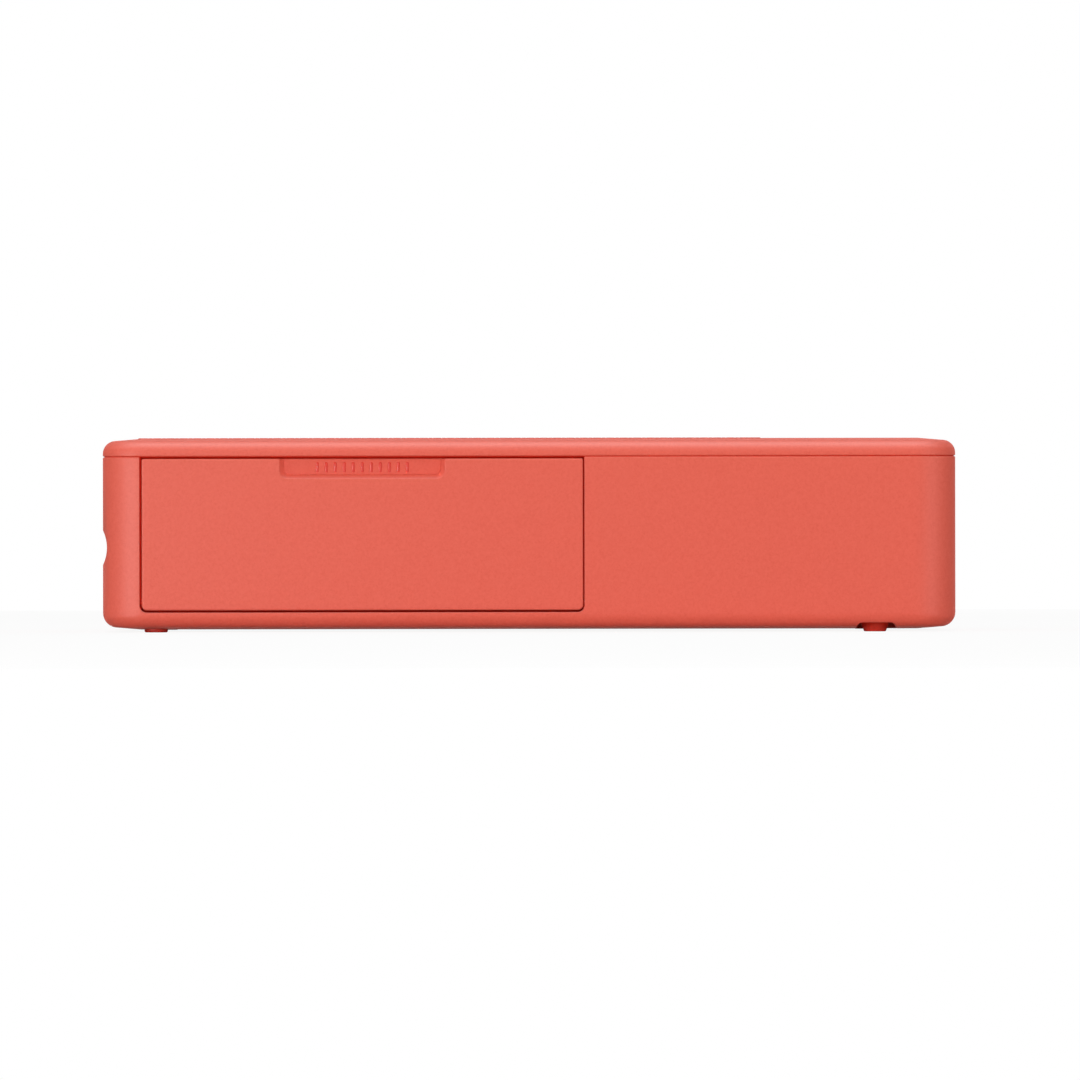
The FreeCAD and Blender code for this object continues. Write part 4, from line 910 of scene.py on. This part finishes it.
@dataclass
class GroovedLid(Assembly):
    """Paper cover: a flat panel whose top carries pairs of fine grooves across the body.

    The section across the body is a rounded bar; it is carried along X at stations that follow
    the grooves, and narrows at both ends with the corner's arc.
    """

    lid_length: float = 106.6 * MM
    thickness: float = 1.4 * MM
    edge_radius: float = 0.25 * MM
    edge_points: int = 4
    corner_radius: float = 1.0 * MM
    corner_points: int = 7
    margin: float = 0.5 * MM
    groove_pitch: float = 0.76 * MM
    groove_repeat: float = 2.28 * MM
    groove_width: float = 0.3 * MM
    groove_depth: float = 0.07 * MM
    groove_points: int = 7
    sunk: float = 0.1 * MM
    barrel_radius: float = 1.1 * MM
    barrel_length: float = 2.7 * MM
    barrel_points: int = 15
    hook_x: float = -51.5 * MM
    hook_half: float = 2.4 * MM
    hook_y: float = 43.3 * MM
    hook_thickness: float = 0.8 * MM

    def build(self) -> None:
        """Make the panel, its barrels and its hook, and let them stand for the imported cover."""
        low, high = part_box("paper_cover")
        half = min(-low.y, high.y)
        x0 = (low.x + high.x) / 2 - self.lid_length / 2
        panel = lofted("paper_cover_panel", self.rings(x0, half, high.z), SHARP_ROUNDED)
        self.shop.settle(panel, Finishes.PANEL, "paper_lid", "paper_cover", instead=True)
        underside = high.z - self.thickness
        self.barrels(half, underside)
        self.hook(low.z, underside)

    def stations(self) -> Tuple[np.ndarray, np.ndarray]:
        """Places along X and how deep the top is cut at each.

        A groove is one turn of a raised cosine: depth times (1 + cos) / 2 over its width.

        Returns:
            The places from the panel's front edge, and the depths.
        """
        lead = self.corner_radius * (1 - np.cos(np.linspace(0, QUARTER_TURN, self.corner_points)))
        first = self.corner_radius + self.margin
        count = int((self.lid_length - 2 * first) / self.groove_repeat)
        start = first + np.arange(count) * self.groove_repeat
        pairs = np.sort(np.concatenate([start, start + self.groove_pitch]))
        shape = np.linspace(-1, 1, self.groove_points)
        grooves = (pairs + self.groove_width)[:, None] + shape * self.groove_width / 2
        depths = self.groove_depth * (1 + np.cos(math.pi * shape)) / 2
        flat = np.zeros(len(lead))
        places = np.concatenate([lead, grooves.ravel(), self.lid_length - lead[::-1]])
        return places, np.concatenate([flat, np.tile(depths, len(pairs)), flat])

    def rings(self, x0: float, half: float, top: float) -> np.ndarray:
        """Rings of the panel, one for each station.

        The half width draws in with the corner's arc towards both ends, and the top drops with
        the edge's own arc in the same way.

        Args:
            x0: The panel's front edge.
            half: Half its width.
            top: Height of its face.

        Returns:
            An array of stations by points by 3.
        """
        places, cut = self.stations()
        from_end = np.minimum(places, self.lid_length - places)
        width = half - drawn_in(self.corner_radius, from_end)
        drop = drawn_in(self.edge_radius, from_end)
        e = self.edge_radius
        arc = np.linspace(QUARTER_TURN, 0, self.edge_points)
        inward = np.concatenate([[0.0], e - e * np.sin(arc), [e * 2]])
        fall = np.concatenate([[self.thickness], e - e * np.cos(arc), [0.0]])
        y = np.concatenate([inward - width[:, None], width[:, None] - inward[::-1]], 1)
        depth = np.concatenate([fall, fall[::-1]])
        z = top - np.maximum(depth, drop[:, None]) - np.isclose(depth, 0) * cut[:, None]
        x = np.broadcast_to((x0 + places)[:, None], y.shape)
        return np.stack([x, y, z], -1)

    def barrels(self, half: float, underside: float) -> None:
        """Make two hinge barrels under the panel's rear corners, each the lower part of a bar.

        The section is the pin's axis + radius times (cos a, sin a), a between the two places
        where the circle meets the panel.

        Args:
            half: Half the panel's width.
            underside: Height of its underside.
        """
        pin_low, pin_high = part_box("paper_cover_pins")
        pin, r = (pin_low + pin_high) / 2, self.barrel_radius
        meet = math.asin((underside + self.sunk - pin.z) / r)
        arc = np.linspace(meet, -math.pi - meet, self.barrel_points)
        section = np.stack([pin.x + r * np.cos(arc), pin.z + r * np.sin(arc)], 1)
        near = half - self.barrel_length
        for end, y0, y1 in (("door_side", -half, -near), ("drive_side", near, half)):
            barrel = extruded("lid_barrel_" + end, section, "Y", y0, y1, SHARP_ROUNDED)
            self.shop.settle(barrel, Finishes.CASE, "paper_lid", "paper_cover")

    def hook(self, bottom: float, underside: float) -> None:
        """Make the latch hook under the panel's front edge, its chamfered nose outwards.

        Args:
            bottom: Height of the hook's lower end.
            underside: Height of the panel's underside.
        """
        t, root = self.hook_thickness, underside + self.sunk - bottom
        outline = np.array([(0, root), (t, root), (t, t), (2 * t, t), (2 * t, 0.6 * t),
                            (1.5 * t, 0), (0, 0)]) + (self.hook_y, bottom)
        hook = extruded("lid_hook", outline, "X", self.hook_x - self.hook_half,
                        self.hook_x + self.hook_half, SHARP_HOOK)
        self.shop.settle(hook, Finishes.CASE, "paper_lid", "paper_cover")


@dataclass
class DoorSurround(Assembly):
    """What the ink door closes on: a frame behind its gap, in painted bounce red, clear of the
    door's swing.
    """

    lap: float = 1.1 * MM
    lower_lap: float = 0.77 * MM
    gap: float = 0.3 * MM
    swing: float = 2.75 * MM
    stop: float = 1.86 * MM
    stop_rise: float = 2.0 * MM
    thickness: float = 0.5 * MM
    rabbet: float = 0.95 * MM
    top_rabbet: float = 1.4 * MM
    clearance: float = 0.06 * MM
    bury: float = 0.1 * MM

    def build(self) -> None:
        """Make the deep frame all round, the lips, and the stop at the sides and the top."""
        low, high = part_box("ink_door")
        self.frame(low, high)
        self.lips(low, high)
        x0, x1 = low.x - self.gap - self.lap / 2, high.x + self.gap + self.lap / 2
        top, foot, lap = high.z + self.gap, low.z + self.stop_rise, self.lap
        arch = np.array([(x0, foot), (x0 + lap, foot), (x0 + lap, top - lap),
                         (x1 - lap, top - lap), (x1 - lap, foot), (x1, foot), (x1, top), (x0, top)])
        self.bar("ink_door_stop", arch, low.y + self.stop, low.y + self.swing)

    def bar(self, name: str, outline: np.ndarray, front: float, back: float) -> None:
        """Make one bar of the surround and settle it.

        Args:
            name: The piece's name.
            outline: Its section, in x and z.
            front: Where it starts along Y.
            back: Where it ends.
        """
        # Every bar takes the stronger red of painted bounce light, which stands in for light
        # bouncing in the gap.
        self.shop.settle(extruded(name, outline, "Y", front, back), Finishes.CASE_INSIDE_PAINTED_BOUNCE,
                         "printer", "bottom_case")

    def lips(self, low: Vector, high: Vector) -> None:
        """Make the shallow lips that fill the back of the gap at the sides and the top.

        Args:
            low: Lowest corner of the door.
            high: Its highest corner.
        """
        near, far = self.clearance, self.gap + self.bury
        top, back = high.z, low.y + self.stop + self.bury
        for name, x0, x1, z0, depth in (
                ("front", low.x - far, low.x - near, low.z, self.rabbet),
                ("rear", high.x + near, high.x + far, low.z, self.rabbet),
                ("top", low.x - near, high.x + near, top + near, self.top_rabbet)):
            self.bar(f"ink_door_rabbet_{name}", rectangle(x0, x1, z0, top + far),
                     low.y + depth, back)

    def frame(self, low: Vector, high: Vector) -> None:
        """Make the frame: four bars, mitred at the corners, as a loft that closes on itself.

        Args:
            low: Lowest corner of the door.
            high: Its highest corner.
        """
        lap, out = self.lap, self.gap + self.lap
        inner = rectangle(low.x + lap, high.x - lap, low.z + lap, high.z - lap)
        outer = rectangle(low.x - out, high.x + out, low.z - self.gap - self.lower_lap,
                          high.z + self.gap)
        front = low.y + self.swing
        back = front + self.thickness
        rings = [np.insert(flat, 1, y, axis=1) for flat, y in
                 ((inner, front), (inner, back), (outer, back), (outer, front))]
        # The frame's stronger red is painted bounce light, not a colour of its own.
        self.shop.settle(lofted("ink_door_surround", rings, capped=False),
                         Finishes.CASE_INSIDE_PAINTED_BOUNCE, "printer", "bottom_case")


@dataclass
class SeamTongue(Assembly):
    """Rim of the case that closes the seam below the top cover, set back behind its edge."""

    inset: float = 0.3 * MM
    width: float = 1.0 * MM
    corner_radius: float = 7.0 * MM
    corner_steps: int = 10
    seam: float = 0.1 * MM
    lap: float = 0.02 * MM

    def build(self) -> None:
        """Make the ring from two rounded outlines, between the case's rim and the cover's.

        The cover's rim is a seam's height over the case, as its posts reach lower than its rim.
        """
        low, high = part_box("bottom_case")
        cover_low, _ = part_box("top_cover")
        z0, z1 = high.z - self.lap, max(cover_low.z, high.z + self.seam) + self.lap
        outer, inner = self.inset, self.inset + self.width
        rings = []
        for inset, z in ((outer, z0), (outer, z1), (inner, z1), (inner, z0)):
            outline = rounded_outline(low.x + inset, high.x - inset, low.y + inset,
                                      high.y - inset, self.corner_radius - inset,
                                      self.corner_steps)
            rings.append(np.insert(outline, 2, z, axis=1))
        # The ring's stronger red is painted bounce light, which stands in for light bouncing in the
        # seam.
        self.shop.settle(lofted("seam_tongue", rings, capped=False), Finishes.CASE_INSIDE_PAINTED_BOUNCE,
                         "printer", "bottom_case")


@dataclass
class GripBars(Assembly):
    """Plain raised bars, and a darker inlay of painted shade under them, on the floor of the door's
    finger recess.
    """

    count: int = 11
    row_width: float = 16.0 * MM
    height: float = 1.75 * MM
    bar_width: float = 0.62 * MM
    relief: float = 0.14 * MM
    from_top: float = 0.6 * MM
    recess_depth: float = 1.0 * MM
    shade_inlay_width: float = 26.86 * MM
    shade_inlay_height: float = 2.73 * MM
    shade_inlay_radius: float = 1.03 * MM
    shade_inlay_points: int = 8
    shade_inlay_lap: float = 0.03 * MM

    def build(self) -> None:
        """Make the row of bars on the recess floor, and its inlay of painted shade."""
        low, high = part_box("ink_door")
        middle, floor = (low.x + high.x) / 2, low.y + self.recess_depth
        face = Face((middle, floor, high.z), (1, 0, 0), (0, 0, 1), (0, -1, 0))
        row = np.linspace(-0.5, 0.5, self.count) * (self.row_width - self.bar_width)
        centres = [(u, -self.from_top - self.height / 2) for u in row]
        bars = ribs("door_grip_bars", face, centres, self.height, self.bar_width, self.relief,
                    across=True)
        self.shop.settle(bars, Finishes.MARK, "side_door", "ink_door")
        self.painted_shade_inlay(middle, floor, high.z)

    def painted_shade_inlay(self, middle: float, floor: float, top: float) -> None:
        """Make the thin inlay of painted shade that darkens the recess floor, its two lower corners
        rounded.

        Each corner is centre + radius times (cos a, sin a), a over its own quarter turn.

        Args:
            middle: The recess's middle along X.
            floor: Its floor along Y.
            top: The door's upper edge.
        """
        radius, half, lap = self.shade_inlay_radius, self.shade_inlay_width / 2, self.shade_inlay_lap
        turn = np.linspace(math.pi, 1.5 * math.pi, self.shade_inlay_points)
        quarter = np.stack([np.cos(turn), np.sin(turn)], 1) * radius
        centre_z = top - self.shade_inlay_height + radius
        left = quarter + (middle - half + radius, centre_z)
        right = quarter[::-1] * (-1, 1) + (middle + half - radius, centre_z)
        ends = np.array([(middle + half, top - lap), (middle - half, top - lap)])
        # A darker sheet of painted shade over the recess floor, where the recess's edge would shade
        # it.
        shade_sheet = extruded("door_recess_painted_shade", np.concatenate([left, right, ends]), "Y",
                         floor - lap, floor + lap)
        self.shop.settle(shade_sheet, Finishes.RECESS_PAINTED_SHADE, "side_door", "ink_door")


@dataclass
class LidInside(Assembly):
    """Stiffening ribs and a felt pad on the underside of the paper cover."""

    thickness: float = 1.4 * MM
    rib_height: float = 0.85 * MM
    cross_height: float = 0.782 * MM
    rib_width: float = 0.9 * MM
    front_inset: float = 2.6 * MM
    side_inset: float = 2.9 * MM
    long_y: Tuple[float, ...] = (-30.0 * MM, -10.0 * MM, 10.0 * MM, 30.0 * MM)
    cross_x: Tuple[float, ...] = (-44.0 * MM, -20.0 * MM, 4.0 * MM, 22.0 * MM)
    pad_size: Tuple[float, float] = (8.0 * MM, 22.0 * MM)
    pad_corner: float = 1.0 * MM
    pad_height: float = 1.1 * MM
    pad_edge: float = 0.4 * MM
    pad_shift: float = -1.0 * MM

    def build(self) -> None:
        """Make the long ribs, the cross ribs, the edge ribs and the pad over the roller."""
        low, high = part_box("paper_cover")
        under = Face((0, 0, high.z - self.thickness), (1, 0, 0), (0, -1, 0), (0, 0, -1))
        first, last = self.cross_x[0], self.cross_x[-1]
        edge_first, edge_v = low.x + self.front_inset, high.y - self.side_inset
        centres = [((first + last) / 2, -y) for y in self.long_y]
        centres += [((edge_first + last) / 2, v) for v in (-edge_v, edge_v)]
        lengths = [last - first] * len(self.long_y) + [last - edge_first] * 2
        along = ribs("lid_ribs_along", under, centres, lengths, self.rib_width, self.rib_height)
        self.shop.settle(along, Finishes.CASE, "paper_lid", "paper_cover")
        centres = [(x, 0.0) for x in self.cross_x + (edge_first,)]
        lengths = [2 * self.long_y[-1]] * len(self.cross_x) + [2 * edge_v]
        cross = ribs("lid_ribs_across", under, centres, lengths, self.rib_width,
                     self.cross_height, across=True)
        self.shop.settle(cross, Finishes.CASE, "paper_lid", "paper_cover")
        roller_low, roller_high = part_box("pickup_sleeve")
        centre = ((roller_low.x + roller_high.x) / 2 + self.pad_shift, 0.0)
        felt = pad("lid_felt_pad", under, centre, self.pad_size, self.pad_corner,
                   self.pad_height, self.pad_edge)
        self.shop.settle(felt, Finishes.FELT, "paper_lid", "pickup_sleeve")


@dataclass
class DoorInside(Assembly):
    """Stiffening ribs and two felt pads on the inner face of the ink door."""

    rib_height: float = 0.7 * MM
    post_height: float = 0.644 * MM
    rib_width: float = 0.9 * MM
    side_inset: float = 3.4 * MM
    low_z: float = 9.0 * MM
    high_z: float = 24.6 * MM
    posts: int = 5
    pad_size: Tuple[float, float] = (7.0 * MM, 4.0 * MM)
    pad_corner: float = 0.8 * MM
    pad_height: float = 1.1 * MM
    pad_edge: float = 0.4 * MM
    pad_z: float = 16.8 * MM

    def build(self) -> None:
        """Make two long ribs, upright ribs between them, and the pads that steady the cassette."""
        low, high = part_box("ink_door")
        inner = Face(((low.x + high.x) / 2, high.y, 0), (1, 0, 0), (0, 0, 1), (0, 1, 0))
        reach = (high.x - low.x) / 2 - self.side_inset
        along = ribs("door_ribs_along", inner, [(0.0, self.low_z), (0.0, self.high_z)], 2 * reach,
                     self.rib_width, self.rib_height)
        self.shop.settle(along, Finishes.CASE, "side_door", "ink_door")
        u = np.linspace(-reach, reach, self.posts)
        centres = [(place, (self.low_z + self.high_z) / 2) for place in u]
        upright = ribs("door_ribs_upright", inner, centres, self.high_z - self.low_z,
                       self.rib_width, self.post_height, across=True)
        self.shop.settle(upright, Finishes.CASE, "side_door", "ink_door")
        for u_pad, end in ((u[1] + u[0]) / 2, "front"), ((u[-2] + u[-3]) / 2, "rear"):
            felt = pad("door_felt_pad_" + end, inner, (u_pad, self.pad_z), self.pad_size,
                       self.pad_corner, self.pad_height, self.pad_edge)
            self.shop.settle(felt, Finishes.FELT, "side_door", "pickup_sleeve")


@dataclass
class TrayFloor(Assembly):
    """Rails that the sheets slide on, and two moulded arrow heads that point to the roller."""

    floor_z: float = 27.2 * MM
    rail_y: Tuple[float, ...] = (-33.0 * MM, -21.0 * MM, 21.0 * MM, 33.0 * MM)
    rail_width: float = 1.2 * MM
    rail_height: float = 0.32 * MM
    front_inset: float = 3.0 * MM
    rear_x: float = 33.0 * MM
    arrow_x: float = -30.0 * MM
    arrow_pitch: float = 15.0 * MM
    arrow_size: float = 5.0 * MM
    arrow_height: float = 0.16 * MM
    arrow: Tuple[Tuple[float, float], ...] = (
        (0.5, 0.0), (-0.2, 0.62), (-0.36, 0.62), (-0.36, 0.3), (-0.9, 0.3), (-0.9, -0.3),
        (-0.36, -0.3), (-0.36, -0.62), (-0.2, -0.62))

    def build(self) -> None:
        """Make the rails and the arrow heads."""
        low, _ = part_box("paper_tray")
        floor = Face((0, 0, self.floor_z), (1, 0, 0), (0, 1, 0), (0, 0, 1))
        x0, x1 = low.x + self.front_inset, self.rear_x
        rails = ribs("tray_rails", floor, [((x0 + x1) / 2, y) for y in self.rail_y], x1 - x0,
                     self.rail_width, self.rail_height)
        self.shop.settle(rails, Finishes.GREY, "printer", "paper_tray")
        outline = np.array(self.arrow) * self.arrow_size
        for x, end in (self.arrow_x, "front"), (self.arrow_x + self.arrow_pitch, "rear"):
            arrow = extruded("tray_arrow_" + end, outline + [x, 0], "Z",
                             self.floor_z - self.arrow_height, self.floor_z + self.arrow_height)
            self.shop.settle(arrow, Finishes.GREY, "printer", "paper_tray")


@dataclass
class CassetteFace(Assembly):
    """Grip ribs and a bare label on the plate that the cassette is pulled out by."""

    plate_top: float = 25.4 * MM
    rib_margin: float = 2.0 * MM
    rib_count: int = 9
    rib_pitch: float = 1.5 * MM
    rib_width: float = 0.7 * MM
    rib_height: float = 0.35 * MM
    label_centre: Tuple[float, float] = (17.0 * MM, 0.0)
    label_size: Tuple[float, float] = (15.0 * MM, 3.6 * MM)
    label_corner: float = 0.5 * MM
    label_height: float = 0.06 * MM
    label_edge: float = 0.03 * MM

    def build(self) -> None:
        """Make the ribs in the middle of the plate and the label beside them."""
        low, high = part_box("cassette_body")
        middle = ((low.x + high.x) / 2, low.y, (low.z + self.plate_top) / 2)
        plate = Face(middle, (1, 0, 0), (0, 0, 1), (0, -1, 0))
        row = (np.arange(self.rib_count) - (self.rib_count - 1) / 2) * self.rib_pitch
        grip = ribs("cassette_grip_ribs", plate, [(u, 0.0) for u in row],
                    self.plate_top - low.z - self.rib_margin, self.rib_width, self.rib_height,
                    across=True)
        self.shop.settle(grip, Finishes.GREY, "printer", "cassette_body")
        label = pad("cassette_label", plate, self.label_centre, self.label_size,
                    self.label_corner, self.label_height, self.label_edge)
        self.shop.settle(label, Finishes.LABEL, "printer", "status_lights")


@dataclass
class PowerMark(Assembly):
    """Plain power sign, a ring open at its top with a bar in the opening, on the button's cap."""

    radius: float = 1.35 * MM
    line: float = 0.3 * MM
    line_corner: float = 0.144 * MM
    height: float = 0.03 * MM
    edge: float = 0.015 * MM
    gap_degrees: float = 70.0
    bar_share: float = 1.15
    bar_centre_share: float = 0.62

    def build(self) -> None:
        """Make the ring and its bar; the sign's top points to the lights."""
        low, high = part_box("power_button")
        centre = ((low.x + high.x) / 2, (low.y + high.y) / 2, high.z)
        cap = Face(centre, (0, 1, 0), (-1, 0, 0), (0, 0, 1))
        ring = arc_band("power_sign_ring", cap, (0.0, 0.0), self.radius, self.line,
                        self.gap_degrees, self.height)
        bar = pad("power_sign_bar", cap, (0.0, self.radius * self.bar_centre_share),
                  (self.line, self.radius * self.bar_share), self.line_corner, self.height,
                  self.edge, self.height)
        for piece in (ring, bar):
            self.shop.settle(piece, Finishes.PRINT, "button", "status_lights")


@dataclass
class BarePlate(Assembly):
    """Bare film plate on the underside."""

    size: Tuple[float, float] = (46.0 * MM, 26.0 * MM)
    centre: Tuple[float, float] = (8.0 * MM, 0.0)
    corner: float = 2.0 * MM
    height: float = 0.08 * MM
    edge: float = 0.04 * MM

    def build(self) -> None:
        """Make the plate."""
        low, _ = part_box("bottom_case")
        under = Face((0, 0, low.z), (1, 0, 0), (0, -1, 0), (0, 0, -1))
        plate = pad("underside_plate", under, self.centre, self.size, self.corner, self.height,
                    self.edge)
        self.shop.settle(plate, Finishes.PLATE, "printer", "bottom_case")


@dataclass
class PhotoView:
    """Camera at the photograph's view: level, square to the long side, through a long lens."""

    distance: float = 3000.0 * MM
    frame_width: float = 184.3 * MM
    centre_x: float = 1.86 * MM
    centre_z: float = 15.7 * MM
    roll_degrees: float = 0.09
    sensor: float = 36.0
    nearest: float = 10.0 * MM

    def build(self, front_y: float) -> None:
        """Place the camera.

        Args:
            front_y: Y of the long side that faces the camera.
        """
        lens = bpy.data.cameras.new("photo view")
        lens.sensor_width = self.sensor
        lens.lens = self.sensor * self.distance / self.frame_width
        lens.clip_start = self.nearest
        camera = in_scene("photo view", lens)
        camera.location = (self.centre_x, front_y - self.distance, self.centre_z)
        camera.rotation_euler = (QUARTER_TURN, math.radians(self.roll_degrees), 0)
        bpy.context.scene.camera = camera


@dataclass(frozen=True)
class Lamp:
    """One area lamp, which the camera doesn't see.

    Attributes:
        name: Its name.
        place: Where it stands.
        aim: What it points at.
        size: Its width and height.
        power: Its power in watts.
        sheen: Whether it shows in reflections.
        lights: Whether it lights surfaces.
    """

    name: str
    place: Point
    aim: Point
    size: Tuple[float, float]
    power: float
    sheen: bool = False
    lights: bool = True

    def build(self) -> bpy.types.Object:
        """Add the lamp to the scene.

        Returns:
            The lamp.
        """
        light = bpy.data.lights.new(self.name, "AREA")
        light.shape = "RECTANGLE"
        light.size, light.size_y = self.size
        light.energy = self.power
        lamp = in_scene(self.name, light)
        lamp.location = self.place
        towards = Vector(self.aim) - Vector(self.place)
        lamp.rotation_euler = towards.to_track_quat("-Z", "Y").to_euler()
        lamp.visible_camera = False
        lamp.visible_diffuse = self.lights
        lamp.visible_glossy = self.sheen
        return lamp


@dataclass(frozen=True)
class Card(Lamp):
    """A reflector card: it shows in reflections and lights nothing."""

    sheen: bool = True
    lights: bool = False


@dataclass
class Studio:
    """Plain soft light: lamps above, wide fills round the printer, and a pale floor."""

    ambient: float = 0.33
    floor_size: float = 1.8
    floor_glow: float = 0.9
    floor_bounce: float = 0.6
    floor_seen: float = 0.95
    lamps: Tuple[Lamp, ...] = (
        Lamp("key softbox", (-0.1, -0.7, 0.75), (0, 0, 0.02), (0.6, 0.6), 1.0, sheen=True),
        Lamp("top softbox", (0.0, 0.0, 0.7), (0, 0, 0.02), (0.6, 0.3), 0.9, sheen=True),
        Lamp("front fill", (-0.1, -1.5, 0.15), (0, 0, 0.015), (3.0, 1.2), 27.0),
        Lamp("left fill", (-1.4, -0.4, 0.3), (0, 0, 0.015), (0.8, 0.8), 2.7),
        Lamp("rear fill", (0.5, 1.4, 0.4), (0, 0, 0.015), (1.6, 0.8), 9.0),
    )
    reflectors: Tuple[Card, ...] = (
        Card("crown card", (0.0, -0.12, 0.99), (0, 0, 0.03), (1.2, 0.25), 135.0),
        Card("left card", (-0.203, -0.253, 0.008), (-0.07, -0.05, 0.016), (0.04, 0.01), 4.6),
        Card("right card", (0.233, -0.211, 0.008), (0.07, -0.05, 0.016), (0.04, 0.01), 1.5),
    )

    def build(self) -> None:
        """Light the scene."""
        bpy.context.scene.view_settings.view_transform = "Standard"
        self.world()
        self.floor()
        for lamp in self.lamps:
            lamp.build()

    def cards(self, shell: bpy.types.Collection) -> None:
        """Add the reflector cards, which give the red shell alone its soft bands."""
        for card in self.reflectors:
            card.build().light_linking.receiver_collection = shell

    def world(self) -> None:
        """White for the camera and for reflections, and a dimmer even light for the rest."""
        world = bpy.data.worlds.new("studio")
        bpy.context.scene.world = world
        tree = bare_tree(world)
        strength = add(tree, "MapRange", {"Value": self.seen_directly(tree),
                                          "To Min": self.ambient, "To Max": 1.0})
        back = add(tree, "Background", {"Strength": strength.outputs["Result"], "Color": WHITE})
        add(tree, "OutputWorld", {"Surface": back.outputs["Background"]})

    @staticmethod
    def seen_directly(tree: Tree) -> Socket:
        """Tell the rays that see white: the greatest of Light Path's three kinds.

        Args:
            tree: The node tree.

        Returns:
            A socket that is 1 for camera, glossy and transmission rays, and 0 for others.
        """
        path = add(tree, "LightPath")
        first = add(tree, "Math", {0: path.outputs["Is Camera Ray"],
                                   1: path.outputs["Is Glossy Ray"]}, operation="MAXIMUM")
        both = add(tree, "Math", {0: first.outputs[0],
                                  1: path.outputs["Is Transmission Ray"]}, operation="MAXIMUM")
        return both.outputs[0]

    def floor(self) -> None:
        """A level floor at the feet, white where it is seen and still shaded under the printer."""
        half = self.floor_size / 2
        corners = np.insert(rectangle(-half, half, -half, half), 2, 0.0, axis=1)
        floor = new_piece("studio_floor", corners, [(0, 1, 2, 3)])
        material = bpy.data.materials.new("matte white paper floor")
        tree = bare_tree(material)
        seen = self.seen_directly(tree)
        shade = add(tree, "Mix", {FACTOR: seen, COLOUR_A: (self.floor_bounce,) * 3 + (1,),
                                  COLOUR_B: (self.floor_seen,) * 3 + (1,)}, data_type="RGBA")
        paper = add(tree, "BsdfDiffuse", {"Color": shade.outputs[MIXED_COLOUR]})
        glow = add(tree, "Emission", {"Color": WHITE, "Strength": 1.0})
        share = add(tree, "Math", {0: seen, 1: self.floor_glow}, operation="MULTIPLY")
        mix = add(tree, "MixShader", {0: share.outputs[0], 1: paper.outputs[0],
                                      2: glow.outputs[0]})
        # From below, the floor is clear, so that a view of the underside isn't hidden by it.
        below = add(tree, "NewGeometry").outputs["Backfacing"]
        clear = add(tree, "BsdfTransparent")
        sheet = add(tree, "MixShader", {0: below, 1: mix.outputs[0], 2: clear.outputs[0]})
        add(tree, "OutputMaterial", {"Surface": sheet.outputs[0]})
        floor.data.materials.append(material)


def main() -> None:
    """Build the printer's surfaces in order, from the case inwards."""
    logging.basicConfig(level=logging.INFO, format="%(message)s")
    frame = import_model()
    shop = Workshop(frame)
    shop.finish_nodes()
    PhotoView().build(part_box("bottom_case")[0].y)
    studio = Studio()
    studio.build()
    for assembly in (SmoothCopies, GroovedLid, DoorSurround, SeamTongue, GripBars, LidInside,
                     DoorInside, TrayFloor, CassetteFace, PowerMark, BarePlate):
        assembly(shop).build()
    studio.cards(shop.shell)


if __name__ == "__main__":
    main()
